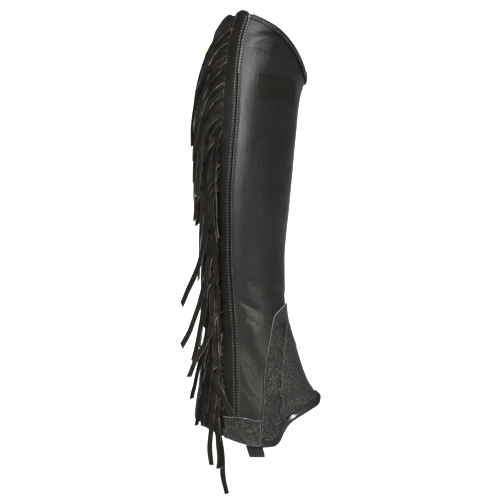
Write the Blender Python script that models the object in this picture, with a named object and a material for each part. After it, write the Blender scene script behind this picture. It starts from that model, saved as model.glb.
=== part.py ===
"""Half chap for the right leg: a hollow leather leg with a fringed outer seam.

Every panel is a wall on one leg form. A place on the form is an angle round the leg and
a height above the hem. What lies on a panel has the panel's own points, moved out.
+X points forward to the toe, the outer side faces -Y and +Z is up.
The origin is inside the calf, where the leg holds the chap up.
"""
import math
from collections import namedtuple

import bmesh
import bpy
from mathutils import Matrix, Vector

# Sizes are in millimetres and angles in degrees until a mesh is made
MM = 0.001

# Leather, suede, tape and elastic
WALL = 2.0                # main panels, skived and lined
OVERLAY = 1.4             # pieces sewn on top of a panel
SUEDE = 1.1
TONGUE = 1.0
PATCH = 1.0
TAPE = 1.0
ELASTIC = 1.2
SEAM_GAP = 0.3            # air between neighbouring pieces

# Main heights above the hem
CALF_HEIGHT = 327.0       # the calf's widest ring, level with the origin
INNER_SEAM = -35.0        # angle where the front panel meets the inner panel
FOOT_CROWD = 1.4          # the panels' rows lie closer at the foot, where the form bends
CLEARANCE = 0.65          # air between a curved panel and what lies on it or in it

Ring = namedtuple("Ring", "height back front half_width shin")
RINGS = (
    # back, front: reach behind and before the leg's axis; shin: how much the front narrows
    Ring(-16, -55.1, 110.0, 36.5, 0.46),
    Ring(0, -55.1, 104.0, 36.5, 0.46),
    Ring(28, -54.9, 89.0, 36.8, 0.42),
    Ring(51, -52.7, 73.8, 37.2, 0.38),
    Ring(60, -51.0, 64.0, 37.6, 0.34),
    Ring(72, -49.6, 57.8, 38.0, 0.30),
    Ring(96, -46.4, 49.8, 38.8, 0.22),
    Ring(121, -44.2, 43.6, 40.2, 0.17),
    Ring(142, -44.2, 40.2, 41.5, 0.15),
    Ring(162, -45.2, 39.6, 43.0, 0.14),
    Ring(195, -47.2, 39.6, 46.5, 0.13),
    Ring(245, -50.3, 43.9, 52.0, 0.12),
    Ring(286, -51.8, 47.9, 55.0, 0.12),
    Ring(327, -51.6, 51.6, 56.0, 0.11),
    Ring(360, -49.0, 55.2, 56.0, 0.10),
    Ring(382, -45.4, 61.4, 55.5, 0.09),
    Ring(430, -34.4, 69.5, 53.0, 0.07),
    Ring(462, -27.0, 73.5, 50.5, 0.06),
)

EdgeRow = namedtuple("EdgeRow", "angle height")
TOP_EDGE = (
    # from the shin by the outer side to the back, then low round the inner side
    EdgeRow(0, 380.6),
    EdgeRow(21, 390.2),
    EdgeRow(35, 401.0),
    EdgeRow(48, 412.0),
    EdgeRow(62, 423.2),
    EdgeRow(76, 432.6),
    EdgeRow(90, 439.2),
    EdgeRow(106, 445.4),
    EdgeRow(120, 450.4),
    EdgeRow(133, 445.4),
    EdgeRow(139, 447.4),
    EdgeRow(149, 444.0),
    EdgeRow(160, 436.0),
    EdgeRow(180, 426.0),
    EdgeRow(205, 409.0),
    EdgeRow(240, 392.0),
    EdgeRow(280, 384.0),
    EdgeRow(320, 380.0),
    EdgeRow(360, 380.6),
)
HEM = (
    # from the toe's tip round either side to the heel
    EdgeRow(0, 52.2),
    EdgeRow(14, 48.4),
    EdgeRow(27, 43.0),
    EdgeRow(41, 38.6),
    EdgeRow(62, 29.4),
    EdgeRow(71, 23.2),
    EdgeRow(78, 14.3),
    EdgeRow(83, 5.7),
    EdgeRow(88, 1.2),
    EdgeRow(96, 0.5),
    EdgeRow(109, 2.4),
    EdgeRow(116, 6.0),
    EdgeRow(128, 10.4),
    EdgeRow(146, 18.0),
    EdgeRow(160, 23.0),
    EdgeRow(180, 29.4),
)
FOOT_EDGE = (
    # the foot piece's raw edge, an arch over the shin that drops to the hem
    EdgeRow(0, 148.5),
    EdgeRow(12, 147.4),
    EdgeRow(31, 142.7),
    EdgeRow(47, 134.5),
    EdgeRow(55, 121.5),
    EdgeRow(63, 105.0),
    EdgeRow(71, 85.0),
    EdgeRow(79, 61.0),
    EdgeRow(88.5, 38.0),
    EdgeRow(93, 21.0),
    EdgeRow(96.5, 2.6),
)
INSTEP_EDGE = (
    # the tongue's edge: a dip over the ridge, a round lobe, then down to the hem
    EdgeRow(0, 104.0),
    EdgeRow(7, 109.0),
    EdgeRow(12, 119.0),
    EdgeRow(16, 128.5),
    EdgeRow(20, 130.0),
    EdgeRow(28, 125.0),
    EdgeRow(35, 114.0),
    EdgeRow(45, 97.0),
    EdgeRow(53, 82.0),
    EdgeRow(61, 61.0),
    EdgeRow(71, 40.5),
    EdgeRow(75, 30.0),
)

LineRow = namedtuple("LineRow", "height reach")
OUTER_SEAM = (
    # where the stitched outer seam runs, as a reach before or behind the leg's axis
    LineRow(0, -10.6),
    LineRow(34, -10.7),
    LineRow(74, -11.4),
    LineRow(116, -12.4),
    LineRow(157, -15.1),
    LineRow(197, -17.2),
    LineRow(252, -17.5),
    LineRow(291, -15.5),
    LineRow(342, -11.4),
    LineRow(384, -9.2),
    LineRow(418, -5.4),
    LineRow(444, 2.0),
)
AngleRow = namedtuple("AngleRow", "height angle")
ZIP_LINE = (
    # the zip runs from the back's middle at the top a little to the outer side
    AngleRow(0, 160.0),
    AngleRow(200, 161.0),
    AngleRow(330, 170.0),
    AngleRow(430, 177.0),
)

Fold = namedtuple("Fold", "angle height length width slant depth")
FOLD_RADIUS = 45.0        # turns the folds' angles into lengths round the ankle
FOLDS = (
    # soft creases of the ankle, where the leather bends with the foot
    Fold(84, 143, 30, 8, 28, -1.0),
    Fold(78, 119, 26, 9, 45, 0.6),
    Fold(91, 101, 40, 8, 62, -1.1),
    Fold(66, 168, 28, 10, 20, -0.6),
    Fold(276, 143, 30, 8, -28, -1.0),
    Fold(269, 101, 40, 8, -62, -1.1),
    Fold(206, 140, 22, 10, 8, -0.9),
)

# Zip
ZIP_OPENING = 3.9         # from the teeth's middle to each panel's edge
ZIP_FOOT = 30.0
ZIP_HEAD = 417.0
TAPE_WIDTH = 11.0
CHAIN_HALF = 2.2
CHAIN_DEPTH = 1.8
SLIDER_HEIGHT = 408.0

# Bindings
TOP_BINDING_WIDTH = 4.6
HEM_BINDING_WIDTH = 5.4
BINDING = 0.9             # thickness of the folded binding strip
BINDING_GAP = 0.6
BINDING_LEAD = 5.0        # degrees that the top binding starts before the outer seam
BINDING_PAST = 4.0        # how far past the zip's tape it ends
PANEL_SHORT = 1.0         # how far the panels stop above the hem
TONGUE_GAP = 1.0          # between the hem's binding and the tongue

# Patch, as its four corners on the outer panel
PatchCorner = namedtuple("PatchCorner", "angle height")
PATCH_REAR_TOP = PatchCorner(86.0, 385.5)
PATCH_REAR_LOW = PatchCorner(81.5, 361.4)
PATCH_FRONT_LOW = PatchCorner(27.0, 353.2)
PATCH_FRONT_TOP = PatchCorner(36.0, 378.0)

# Ankle band over the foot of the outer side
BandRow = namedtuple("BandRow", "angle low high")
ANKLE_BAND = (
    BandRow(97.6, 0.4, 27.0),
    BandRow(104, 1.0, 29.6),
    BandRow(112, 3.4, 30.9),
    BandRow(120, 7.0, 31.2),
    BandRow(126, 9.6, 31.9),
)

# Elastic stirrup
STRAP_WIDTH = 16.0
STRAP_TOP = 18.0
STRAP_DROP = 10.8         # how far it hangs below the hem
STRAP_REACH = 7.0         # its middle before the leg's axis, at the hem
STRAP_LEAN = 3.6          # it slants forward by this much on its way down
STRAP_CORNER = 4.0
STRAP_ANGLE = 93.0        # its front edge, where the panels come closest to it

# Fringe
STRIP_WIDTH = 14.5
STRIP_LOW = 34.0
STRIP_HEAD = 440.0        # height where the strip runs out under the top edge
STRIP_END = 6.0           # between the highest strand and the strip's end
STRAND_PITCH = 7.0
STRAND_WIDTH = 4.3
STRAND_LENGTH = 106.0
STRAND_RINGS = 7
STRAND_TAPER = 0.14
STRAND_CROWD = 1.6        # the rings lie closer towards the root, where a strand bends
LOWEST_TIP = 8.0
LAYER_ORDER = (0, 3, 1, 4, 2, 5)   # neighbouring strands hang in different layers
LAYER_STEP = 1.75
LAYER_LIFT = 0.5          # the lowest layer's own distance off the leather, in layers
TOP_LAYER = 7
RISE_LENGTH = 1.2         # length over which a strand rises to its layer, in bends

HangRow = namedtuple("HangRow", "root slope bend")
STRAND_HANG = (
    # slope: how steeply a strand hangs, from level; bend: the length over which it turns down
    HangRow(34, 82.5, 10),
    HangRow(200, 80.8, 11),
    HangRow(260, 80.5, 12),
    HangRow(310, 78.0, 14),
    HangRow(380, 77.0, 20),
    HangRow(440, 77.0, 26),
)

Stray = namedtuple("Stray", "root length slope layer kick leave")
STRAYS = (
    # strands that part from the rest. kick: how far the tip stands off; leave: where it parts
    Stray(249, 110, 81, TOP_LAYER, 14, 0.45),
    Stray(202, 104, 81, TOP_LAYER, 10, 0.48),
    Stray(136, 86, 81, TOP_LAYER, 5, 0.45),
    Stray(62, 84, 90, TOP_LAYER, 0, 0.5),
    Stray(43, 92, 99, 5, 0, 0.5),
)


class Curve:
    """A table read between its rows, on a smooth curve that never overshoots a row."""

    def __init__(self, rows):
        self.rows = rows
        self.kind = type(rows[0])
        self.slopes = [self.row_slopes(column) for column in range(len(rows[0]))]

    def row_slopes(self, column):
        places = [row[0] for row in self.rows]
        values = [row[column] for row in self.rows]
        steps = [
            (values[i + 1] - values[i]) / (places[i + 1] - places[i])
            for i in range(len(values) - 1)
        ]
        slopes = [steps[0]]
        for before, after in zip(steps, steps[1:]):
            turns_back = before * after <= 0
            slopes.append(0.0 if turns_back else 2 * before * after / (before + after))
        slopes.append(steps[-1])
        return slopes

    def at(self, place):
        rows = self.rows
        place = min(max(place, rows[0][0]), rows[-1][0])
        first = 0
        while first < len(rows) - 2 and place > rows[first + 1][0]:
            first += 1
        low, high = rows[first], rows[first + 1]
        span = high[0] - low[0]
        t = (place - low[0]) / span
        values = []
        for column in range(len(low)):
            start = low[column] * (1 + 2 * t) * (1 - t) ** 2
            start += self.slopes[column][first] * span * t * (1 - t) ** 2
            end = high[column] * t * t * (3 - 2 * t)
            end -= self.slopes[column][first + 1] * span * t * t * (1 - t)
            values.append(start + end)
        return self.kind(*values)


ring_curve = Curve(RINGS)
top_curve = Curve(TOP_EDGE)
hem_curve = Curve(HEM)
foot_curve = Curve(FOOT_EDGE)
instep_curve = Curve(INSTEP_EDGE)
seam_curve = Curve(OUTER_SEAM)
zip_curve = Curve(ZIP_LINE)
band_curve = Curve(ANKLE_BAND)
hang_curve = Curve(STRAND_HANG)


def from_shin(angle):
    """The angle's distance from the shin, by the nearer side."""
    around = angle % 360
    return min(around, 360 - around)


def top_height(angle):
    return top_curve.at(angle % 360).height


def hem_height(angle):
    return hem_curve.at(from_shin(angle)).height


def panel_foot(angle):
    """The panels stop a little short of the hem, inside its binding."""
    return hem_height(angle) + PANEL_SHORT


def foot_height(angle):
    return foot_curve.at(from_shin(angle)).height


def instep_height(angle):
    return instep_curve.at(from_shin(angle)).height


def form_point(angle, height):
    """A point of the plain leg form."""
    ring = ring_curve.at(height)
    turn = math.radians(angle)
    middle = (ring.front + ring.back) / 2
    reach = (ring.front - ring.back) / 2
    across = ring.half_width * math.sin(turn) * (1 - ring.shin * math.cos(turn))
    return Vector((middle + reach * math.cos(turn), -across, height))


def form_frame(angle, height):
    """The form's point, and its directions per degree round and per millimetre up."""
    step = 0.5
    around = form_point(angle + step, height) - form_point(angle - step, height)
    upward = form_point(angle, height + step) - form_point(angle, height - step)
    return form_point(angle, height), around / (2 * step), upward / (2 * step)


def fold_height(angle, height):
    """How far the folds lift or sink the form at a place."""
    total = 0.0
    for fold in FOLDS:
        away = math.radians(angle % 360 - fold.angle) * FOLD_RADIUS
        up = height - fold.height
        if abs(away) > 60 or abs(up) > 60:
            continue
        lean = math.radians(fold.slant)
        along = away * math.cos(lean) + up * math.sin(lean)
        across = up * math.cos(lean) - away * math.sin(lean)
        reach = (2 * along / fold.length) ** 2 + (across / fold.width) ** 2
        total += fold.depth * math.exp(-reach)
    return total


def leg_point(angle, height, out=0.0):
    """A place on the leg, moved out from the leather's face."""
    point, around, upward = form_frame(angle, height)
    normal = upward.cross(around).normalized()
    return point + normal * (out + fold_height(angle, height))


def degrees_for(length, angle, height):
    """The turn that covers a length round the leg at a place."""
    return length / form_frame(angle, height)[1].length


def seam_angle(height):
    """The outer seam's angle, from its reach in the side view."""
    ring = ring_curve.at(height)
    middle = (ring.front + ring.back) / 2
    reach = (ring.front - ring.back) / 2
    return math.degrees(math.acos((seam_curve.at(height).reach - middle) / reach))


def zip_angle(height):
    return zip_curve.at(height).angle


def beside(line, height, length):
    """The angle at a length round the leg from a line."""
    angle = line(height)
    return angle + degrees_for(length, angle, height)


def material(name, colour, roughness, metallic=0.0):
    made = bpy.data.materials.new(name)
    made.use_nodes = True
    shader = made.node_tree.nodes["Principled BSDF"]
    shader.inputs["Base Color"].default_value = (*colour, 1.0)
    shader.inputs["Roughness"].default_value = roughness
    shader.inputs["Metallic"].default_value = metallic
    return made


def add_object(name, mesh, finish):
    mesh.materials.append(finish)
    mesh.shade_smooth()
    mesh.set_sharp_from_angle(angle=math.radians(40))
    made = bpy.data.objects.new(name, mesh)
    bpy.context.collection.objects.link(made)
    made.parent = chap
    return made


def mesh_from(bm, name):
    bmesh.ops.recalc_face_normals(bm, faces=bm.faces)
    mesh = bpy.data.meshes.new(name)
    bm.to_mesh(mesh)
    bm.free()
    return mesh


def grid_between(columns, rows, first_side, last_side, low_edge, high_edge, crowd=1.0):
    """Rows of places between two sides, which follow the height, and two edges, which follow
    the angle. crowd: above 1, the rows lie closer towards the low edge."""
    lines = []
    for column in range(columns + 1):
        share = column / columns

        def angle_at(height):
            return first_side(height) * (1 - share) + last_side(height) * share

        ends = []
        for edge in (low_edge, high_edge):
            height = edge(angle_at(CALF_HEIGHT))
            for _ in range(12):
                height = edge(angle_at(height))
            ends.append(height)
        line = []
        for row in range(rows + 1):
            height = ends[0] + (ends[1] - ends[0]) * (row / rows) ** crowd
            line.append((angle_at(height), height))
        lines.append(line)
    return [list(row) for row in zip(*lines)]


def shell_bmesh(grid, inside, outside):
    """A closed wall on a grid of places, from one distance off the form to another."""
    bm = bmesh.new()
    sides = [
        [[bm.verts.new(leg_point(*place, out) * MM) for place in row] for row in grid]
        for out in (inside, outside)
    ]
    rows, columns = len(grid), len(grid[0])
    for layer in sides:
        for row in range(rows - 1):
            for column in range(columns - 1):
                bm.faces.new((
                    layer[row][column], layer[row][column + 1],
                    layer[row + 1][column + 1], layer[row + 1][column],
                ))
    rim = [(0, column) for column in range(columns - 1)]
    rim += [(row, columns - 1) for row in range(rows - 1)]
    rim += [(rows - 1, column) for column in range(columns - 1, 0, -1)]
    rim += [(row, 0) for row in range(rows - 1, 0, -1)]
    inner, outer = sides
    for (row, column), (next_row, next_column) in zip(rim, rim[1:] + rim[:1]):
        bm.faces.new((
            inner[row][column], inner[next_row][next_column],
            outer[next_row][next_column], outer[row][column],
        ))
    return bm


def shell(name, grid, inside, outside, finish):
    return add_object(name, mesh_from(shell_bmesh(grid, inside, outside), name), finish)


def sweep(name, rings, finish):
    """A closed solid through rings of points, capped at both ends."""
    bm = bmesh.new()
    lines = [[bm.verts.new(point * MM) for point in ring] for ring in rings]
    count = len(lines[0])
    for ring, following in zip(lines, lines[1:]):
        for i in range(count):
            bm.faces.new((ring[i], ring[(i + 1) % count], following[(i + 1) % count], following[i]))
    bm.faces.new(lines[0])
    bm.faces.new(reversed(lines[-1]))
    return add_object(name, mesh_from(bm, name), finish)


def edge_place(angle, edge, up):
    """A place on the leather at a distance from an edge, square to it; up is towards the top."""
    step = 0.5
    height = edge(angle)
    _, around, upward = form_frame(angle, height)
    slope = (edge(angle + step) - edge(angle - step)) / (2 * step)
    along = around + upward * slope
    normal = upward.cross(around).normalized()
    square = along.cross(normal).normalized()
    if square.z < 0:
        square = -square
    # The square direction, split into degrees round and millimetres up
    aa, uu, au = around.dot(around), upward.dot(upward), around.dot(upward)
    sa, su = square.dot(around), square.dot(upward)
    scale = aa * uu - au * au
    turn = (sa * uu - su * au) / scale
    rise = (su * aa - sa * au) / scale
    return angle + turn * up, height + rise * up


def binding(name, angles, edge, into, width, stack, finish):
    """A strip folded over an edge. into: +1 where the leather is above the edge, -1 below;
    stack: how far out the layers inside the fold reach."""
    inner, outer, below = -WALL - BINDING_GAP, stack + BINDING_GAP, -BINDING_GAP
    profile = (
        (width, outer), (width, outer + BINDING), (below - BINDING, outer + BINDING),
        (below - BINDING, inner - BINDING), (width, inner - BINDING), (width, inner),
        (below, inner), (below, outer),
    )
    rings = []
    for angle in angles:
        rings.append([leg_point(*edge_place(angle, edge, into * up), out) for up, out in profile])
    return sweep(name, rings, finish)


def spread(first, last, steps):
    return [first + (last - first) * i / steps for i in range(steps + 1)]


def add_panels():
    outer_rear = lambda height: beside(seam_angle, height, -SEAM_GAP / 2)
    back_front = lambda height: beside(seam_angle, height, SEAM_GAP / 2)
    back_rear = lambda height: beside(zip_angle, height, -ZIP_OPENING)
    inner_rear = lambda height: beside(zip_angle, height, ZIP_OPENING)
    gap = degrees_for(SEAM_GAP, INNER_SEAM, CALF_HEIGHT)
    front_side = lambda height: INNER_SEAM + gap
    inner_front = lambda height: 360 + INNER_SEAM

    grid = grid_between(22, 30, front_side, outer_rear, panel_foot, top_height, FOOT_CROWD)
    shell("outer_panel", grid, -WALL, 0, smooth_leather)
    grid = grid_between(18, 28, inner_rear, inner_front, panel_foot, top_height, FOOT_CROWD)
    shell("inner_panel", grid, -WALL, 0, plain_leather)
    grid = grid_between(7, 30, back_front, back_rear, panel_foot, top_height, FOOT_CROWD)
    shell("back_panel", grid, -WALL, 0, plain_leather)


def add_bindings():
    forward = seam_angle(top_height(110)) - BINDING_LEAD
    back = beside(zip_angle, ZIP_HEAD, TAPE_WIDTH + BINDING_PAST) - 360
    angles = spread(forward, back, 44)
    binding("top_binding", angles, top_height, -1, TOP_BINDING_WIDTH, 0, binding_leather)
    stack = OVERLAY + CLEARANCE
    columns = foot_columns()
    angles = columns[1:-1]
    binding("hem_binding", angles, hem_height, 1, HEM_BINDING_WIDTH, stack, binding_leather)


def foot_columns():
    """The angles of the foot piece's columns, which its binding shares."""
    return spread(-FOOT_EDGE[-1].angle, FOOT_EDGE[-1].angle, 30)


def add_foot_pieces():
    columns = foot_columns()
    grid = [
        [(angle, hem_height(angle) + (foot_height(angle) - hem_height(angle)) * share ** FOOT_CROWD)
         for angle in columns]
        for share in spread(0, 1, 12)
    ]
    shell("foot_piece", grid, CLEARANCE, CLEARANCE + OVERLAY, pebbled_leather)

    # The tongue starts just above the hem's binding
    above = HEM_BINDING_WIDTH + TONGUE_GAP
    starts = [edge_place(angle, hem_height, above) for angle in spread(0, 88, 16)]
    start_curve = Curve([EdgeRow(*start) for start in starts])
    base = 2 * CLEARANCE + OVERLAY
    side = INSTEP_EDGE[-1].angle
    columns = [-side] + [angle for angle in foot_columns() if abs(angle) < side] + [side]
    grid = []
    for share in spread(0, 1, 9):
        line = []
        for angle in columns:
            low = start_curve.at(abs(angle)).height
            line.append((angle, low + (instep_height(angle) - low) * share ** FOOT_CROWD))
        grid.append(line)
    shell("instep_piece", grid, base, base + TONGUE, pebbled_leather)


def add_patch():
    grid = []
    for up in spread(0, 1, 4):
        rear = (
            PATCH_REAR_LOW.angle + (PATCH_REAR_TOP.angle - PATCH_REAR_LOW.angle) * up,
            PATCH_REAR_LOW.height + (PATCH_REAR_TOP.height - PATCH_REAR_LOW.height) * up,
        )
        front = (
            PATCH_FRONT_LOW.angle + (PATCH_FRONT_TOP.angle - PATCH_FRONT_LOW.angle) * up,
            PATCH_FRONT_LOW.height + (PATCH_FRONT_TOP.height - PATCH_FRONT_LOW.height) * up,
        )
        grid.append([
            (rear[0] + (front[0] - rear[0]) * share, rear[1] + (front[1] - rear[1]) * share)
            for share in spread(0, 1, 10)
        ])
    shell("patch", grid, CLEARANCE, CLEARANCE + PATCH, patch_leather)


def add_ankle_band():
    grid = []
    for up in spread(0, 1, 4):
        line = []
        for angle in spread(ANKLE_BAND[0].angle, ANKLE_BAND[-1].angle, 10):
            band = band_curve.at(angle)
            line.append((angle, band.low + (band.high - band.low) * up))
        grid.append(line)
    shell("ankle_band", grid, SEAM_GAP, SEAM_GAP + OVERLAY, band_leather)


def add_stirrup():
    """A flat elastic that goes down inside the outer side, under the foot and up inside the other."""
    inside = -WALL - CLEARANCE - ELASTIC / 2
    side = leg_point(STRAP_ANGLE, hem_height(STRAP_ANGLE), inside).y
    bottom = -STRAP_DROP
    corner = STRAP_CORNER
    route = [
        (leg_point(STRAP_ANGLE, STRAP_TOP, inside).y, STRAP_TOP),
        (side, 6.0),
        (side, bottom + corner),
    ]
    for turn in (30, 60, 90):
        lean = math.radians(turn)
        route.append((side + corner * (1 - math.cos(lean)), bottom + corner * (1 - math.sin(lean))))
    route.append((side / 2, bottom - 0.6))
    other_side = [(-y, z) for y, z in reversed(route)]
    route = route + [(0.0, bottom - 0.9)] + other_side

    rings = []
    for i, (y, z) in enumerate(route):
        before, after = route[max(i - 1, 0)], route[min(i + 1, len(route) - 1)]
        along = Vector((0, after[0] - before[0], after[1] - before[1])).normalized()
        out = Vector((0, along.z, -along.y)) * ELASTIC / 2
        shift = STRAP_LEAN * min(max(-z / STRAP_DROP, 0), 1)
        middle = Vector((STRAP_REACH + shift, y, z))
        half = Vector((STRAP_WIDTH / 2, 0, 0))
        rings.append([middle - half - out, middle + half - out, middle + half + out, middle - half + out])
    sweep("stirrup", rings, elastic)


def strand_places(root_angle, root, length, slope, layer, kick, leave):
    """A strand's middle line as (angle, height, out, direction), from just past its root."""
    place = []
    angle, height, done = root_angle, root, 0.0
    base = SEAM_GAP + SUEDE / 2
    bend = hang_curve.at(root).bend
    steps = 60
    step = length / steps
    stops = [
        round(steps * (ring / STRAND_RINGS) ** STRAND_CROWD) for ring in range(1, STRAND_RINGS + 1)
    ]
    for i in range(1, steps + 1):
        dip = math.radians(slope) * (1 - math.exp(-done / bend))
        angle += degrees_for(math.cos(dip) * step, angle, height)
        height -= math.sin(dip) * step
        done += step
        if i in stops:
            rise = 1 - (1 - min(done / (RISE_LENGTH * bend), 1)) ** 2
            out = base + (layer + LAYER_LIFT) * LAYER_STEP * rise
            parted = max(done / length - leave, 0) / (1 - leave)
            out += kick * parted ** 1.2
            place.append((angle, height, out, dip))
    return place


def strand_ring(angle, height, out, dip, width):
    """A strand's four corners: outer top, outer bottom, inner bottom, inner top."""
    corners = []
    for side, depth in ((1, 1), (-1, 1), (-1, -1), (1, -1)):
        turn = degrees_for(side * width / 2 * math.sin(dip), angle, height)
        rise = side * width / 2 * math.cos(dip)
        corners.append(leg_point(angle + turn, height + rise, out + depth * SUEDE / 2))
    return corners


def strand_shape(index, root):
    """Length, slope, layer, kick and parting point of one strand, from its place in the row."""
    for stray in STRAYS:
        if abs(stray.root - root) <= STRAND_PITCH / 2:
            return stray[1:]
    layer = LAYER_ORDER[index % len(LAYER_ORDER)]
    uneven = 0.09 * math.sin(index * 2.4) + 0.05 * math.sin(index * 5.3)
    length = min(STRAND_LENGTH * (1 + uneven), root - LOWEST_TIP)
    return length, hang_curve.at(root).slope, layer, 0.0, 0.5


def add_fringe():
    """The suede strip beside the outer seam and its strands, as one solid."""
    seam_side = lambda height: beside(seam_angle, height, SEAM_GAP / 2)
    root_side = lambda height: beside(seam_angle, height, STRIP_WIDTH)
    strip_top = top_height(root_side(STRIP_HEAD)) - STRIP_END
    count = int((strip_top - STRIP_LOW) / STRAND_PITCH)

    # Rows of the strip: the foot and head of each strand's root, then the bound top
    share_rows = []
    for index in range(count):
        foot = STRIP_LOW + index * STRAND_PITCH
        share_rows += [foot, foot + STRAND_WIDTH]
    columns = 3
    rows = []
    for height in share_rows:
        near, far = seam_side(height), root_side(height)
        rows.append([(near + (far - near) * i / columns, height) for i in range(columns + 1)])
    head = []
    for i in range(columns + 1):
        share = i / columns
        angle = seam_side(STRIP_HEAD) * (1 - share) + root_side(STRIP_HEAD) * share
        head.append((angle, top_height(angle) + CLEARANCE))
    rows.append(head)

    bm = bmesh.new()
    inner = [[bm.verts.new(leg_point(*place, SEAM_GAP) * MM) for place in row] for row in rows]
    outer = [
        [bm.verts.new(leg_point(*place, SEAM_GAP + SUEDE) * MM) for place in row] for row in rows
    ]
    for layer in (inner, outer):
        for row, above in zip(layer, layer[1:]):
            for i in range(columns):
                bm.faces.new((row[i], row[i + 1], above[i + 1], above[i]))
    for end in (0, -1):
        for i in range(columns):
            bm.faces.new((inner[end][i], inner[end][i + 1], outer[end][i + 1], outer[end][i]))
    for r in range(len(rows) - 1):
        bm.faces.new((inner[r][0], inner[r + 1][0], outer[r + 1][0], outer[r][0]))
        if r % 2 == 1:
            bm.faces.new((inner[r][-1], inner[r + 1][-1], outer[r + 1][-1], outer[r][-1]))

    for index in range(count):
        low, high = 2 * index, 2 * index + 1
        middle = (rows[low][0][1] + rows[high][0][1]) / 2
        ring = [outer[high][-1], outer[low][-1], inner[low][-1], inner[high][-1]]
        shape = strand_shape(index, middle)
        places = strand_places(root_side(middle), middle, *shape)
        for number, (angle, height, out, dip) in enumerate(places):
            width = STRAND_WIDTH * (1 - STRAND_TAPER * (number + 1) / STRAND_RINGS)
            corners = strand_ring(angle, height, out, dip, width)
            following = [bm.verts.new(point * MM) for point in corners]
            for i in (1, 3):
                bm.faces.new((ring[i], ring[(i + 1) % 4], following[(i + 1) % 4], following[i]))
            # Both wide sides are cut along the same diagonal, so that a turn keeps them apart
            bm.faces.new((ring[0], ring[1], following[1]))
            bm.faces.new((ring[0], following[1], following[0]))
            bm.faces.new((ring[2], ring[3], following[2]))
            bm.faces.new((ring[3], following[3], following[2]))
            ring = following
        bm.faces.new(ring)
    add_object("fringe", mesh_from(bm, "fringe"), suede)


def add_zip():
    inside = -WALL - CLEARANCE
    low = lambda angle: ZIP_FOOT
    high = lambda angle: ZIP_HEAD
    for name, first, last in (
        ("zip_tape_outer", -TAPE_WIDTH, -SEAM_GAP / 2),
        ("zip_tape_inner", SEAM_GAP / 2, TAPE_WIDTH),
    ):
        first_side = lambda height, length=first: beside(zip_angle, height, length)
        last_side = lambda height, length=last: beside(zip_angle, height, length)
        grid = grid_between(2, 22, first_side, last_side, low, high)
        shell(name, grid, inside - TAPE, inside, tape_cloth)
    first_side = lambda height: beside(zip_angle, height, -CHAIN_HALF)
    last_side = lambda height: beside(zip_angle, height, CHAIN_HALF)
    grid = grid_between(2, 26, first_side, last_side, low, high)
    shell("zip_teeth", grid, -WALL, -WALL + CHAIN_DEPTH, brass)


def zip_frame():
    """The slider's own axes: x round the leg, y up the zip, z out; its origin is on the leather's face."""
    angle = zip_angle(SLIDER_HEIGHT)
    point, around, _ = form_frame(angle, SLIDER_HEIGHT)
    x = -around.normalized()
    rise = form_point(zip_angle(SLIDER_HEIGHT + 5), SLIDER_HEIGHT + 5)
    fall = form_point(zip_angle(SLIDER_HEIGHT - 5), SLIDER_HEIGHT - 5)
    z = x.cross(rise - fall).normalized()
    y = z.cross(x)
    turn = Matrix((x, y, z)).transposed().to_4x4()
    return Matrix.Translation(point * MM) @ turn


def block(bm, x, y, z):
    """A box between two corners, in millimetres."""
    size = Vector((x[1] - x[0], y[1] - y[0], z[1] - z[0])) * MM
    middle = Vector((x[0] + x[1], y[0] + y[1], z[0] + z[1])) * MM / 2
    made = bmesh.ops.create_cube(bm, size=1.0)
    bmesh.ops.scale(bm, vec=size, verts=made["verts"])
    bmesh.ops.translate(bm, vec=middle, verts=made["verts"])


def rod(bm, radius, half_length, y, z, sides):
    """A round bar along x."""
    made = bmesh.ops.create_cone(
        bm, cap_ends=True, segments=sides, radius1=radius * MM, radius2=radius * MM,
        depth=2 * half_length * MM, matrix=Matrix.Rotation(math.radians(90), 4, "Y"),
    )
    bmesh.ops.translate(bm, vec=Vector((0, y, z)) * MM, verts=made["verts"])


def helper(name, bm):
    """A shape that is only joined to or cut from another, and never shown."""
    made = bpy.data.objects.new(name, mesh_from(bm, name))
    bpy.context.collection.objects.link(made)
    made.hide_render = True
    made.display_type = "WIRE"
    made.parent = chap
    return made


def combine(target, other, operation):
    modifier = target.modifiers.new(operation.title(), "BOOLEAN")
    modifier.operation = operation
    modifier.solver = "EXACT"
    modifier.object = other


# Slider and pull, in the slider's own axes
PLATE_HALF = 3.3
PLATE_LENGTH = 11.0
PLATE_LOW = 0.25
PLATE_HIGH = 1.5
CHEEK = 0.8               # the slider's side walls, beside the chain
LUG_INSIDE = 2.1
LUG = 0.9
BAR_RADIUS = 0.65
BAR_OUT = 3.4
EYE_CLEARANCE = 0.3
EYE_WALL = 0.7
PULL_THICK = 1.0
PULL_HALF = 3.4
PULL_LENGTH = 20.0
NECK_HALF = 1.5


def add_slider(frame):
    bm = bmesh.new()
    block(bm, (-PLATE_HALF, PLATE_HALF), (-PLATE_LENGTH / 2, PLATE_LENGTH / 2), (PLATE_LOW, PLATE_HIGH))
    slider = add_object("zip_slider", mesh_from(bm, "zip_slider"), brass)
    slider.matrix_local = frame

    bm = bmesh.new()
    for side in (-1, 1):
        wall = sorted((side * (PLATE_HALF - CHEEK), side * PLATE_HALF))
        block(bm, wall, (-PLATE_LENGTH / 2, PLATE_LENGTH / 2), (-WALL + 0.4, PLATE_HIGH - 0.2))
        lug = sorted((side * LUG_INSIDE, side * (LUG_INSIDE + LUG)))
        block(bm, lug, (-1.5, 1.5), (PLATE_HIGH - 0.4, BAR_OUT + 1.1))
    sides = helper("slider_sides", bm)
    bm = bmesh.new()
    rod(bm, BAR_RADIUS, LUG_INSIDE + LUG / 2, 0, BAR_OUT, 10)
    bar = helper("slider_bar", bm)
    for piece in (sides, bar):
        piece.matrix_local = frame
        combine(slider, piece, "UNION")


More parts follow.
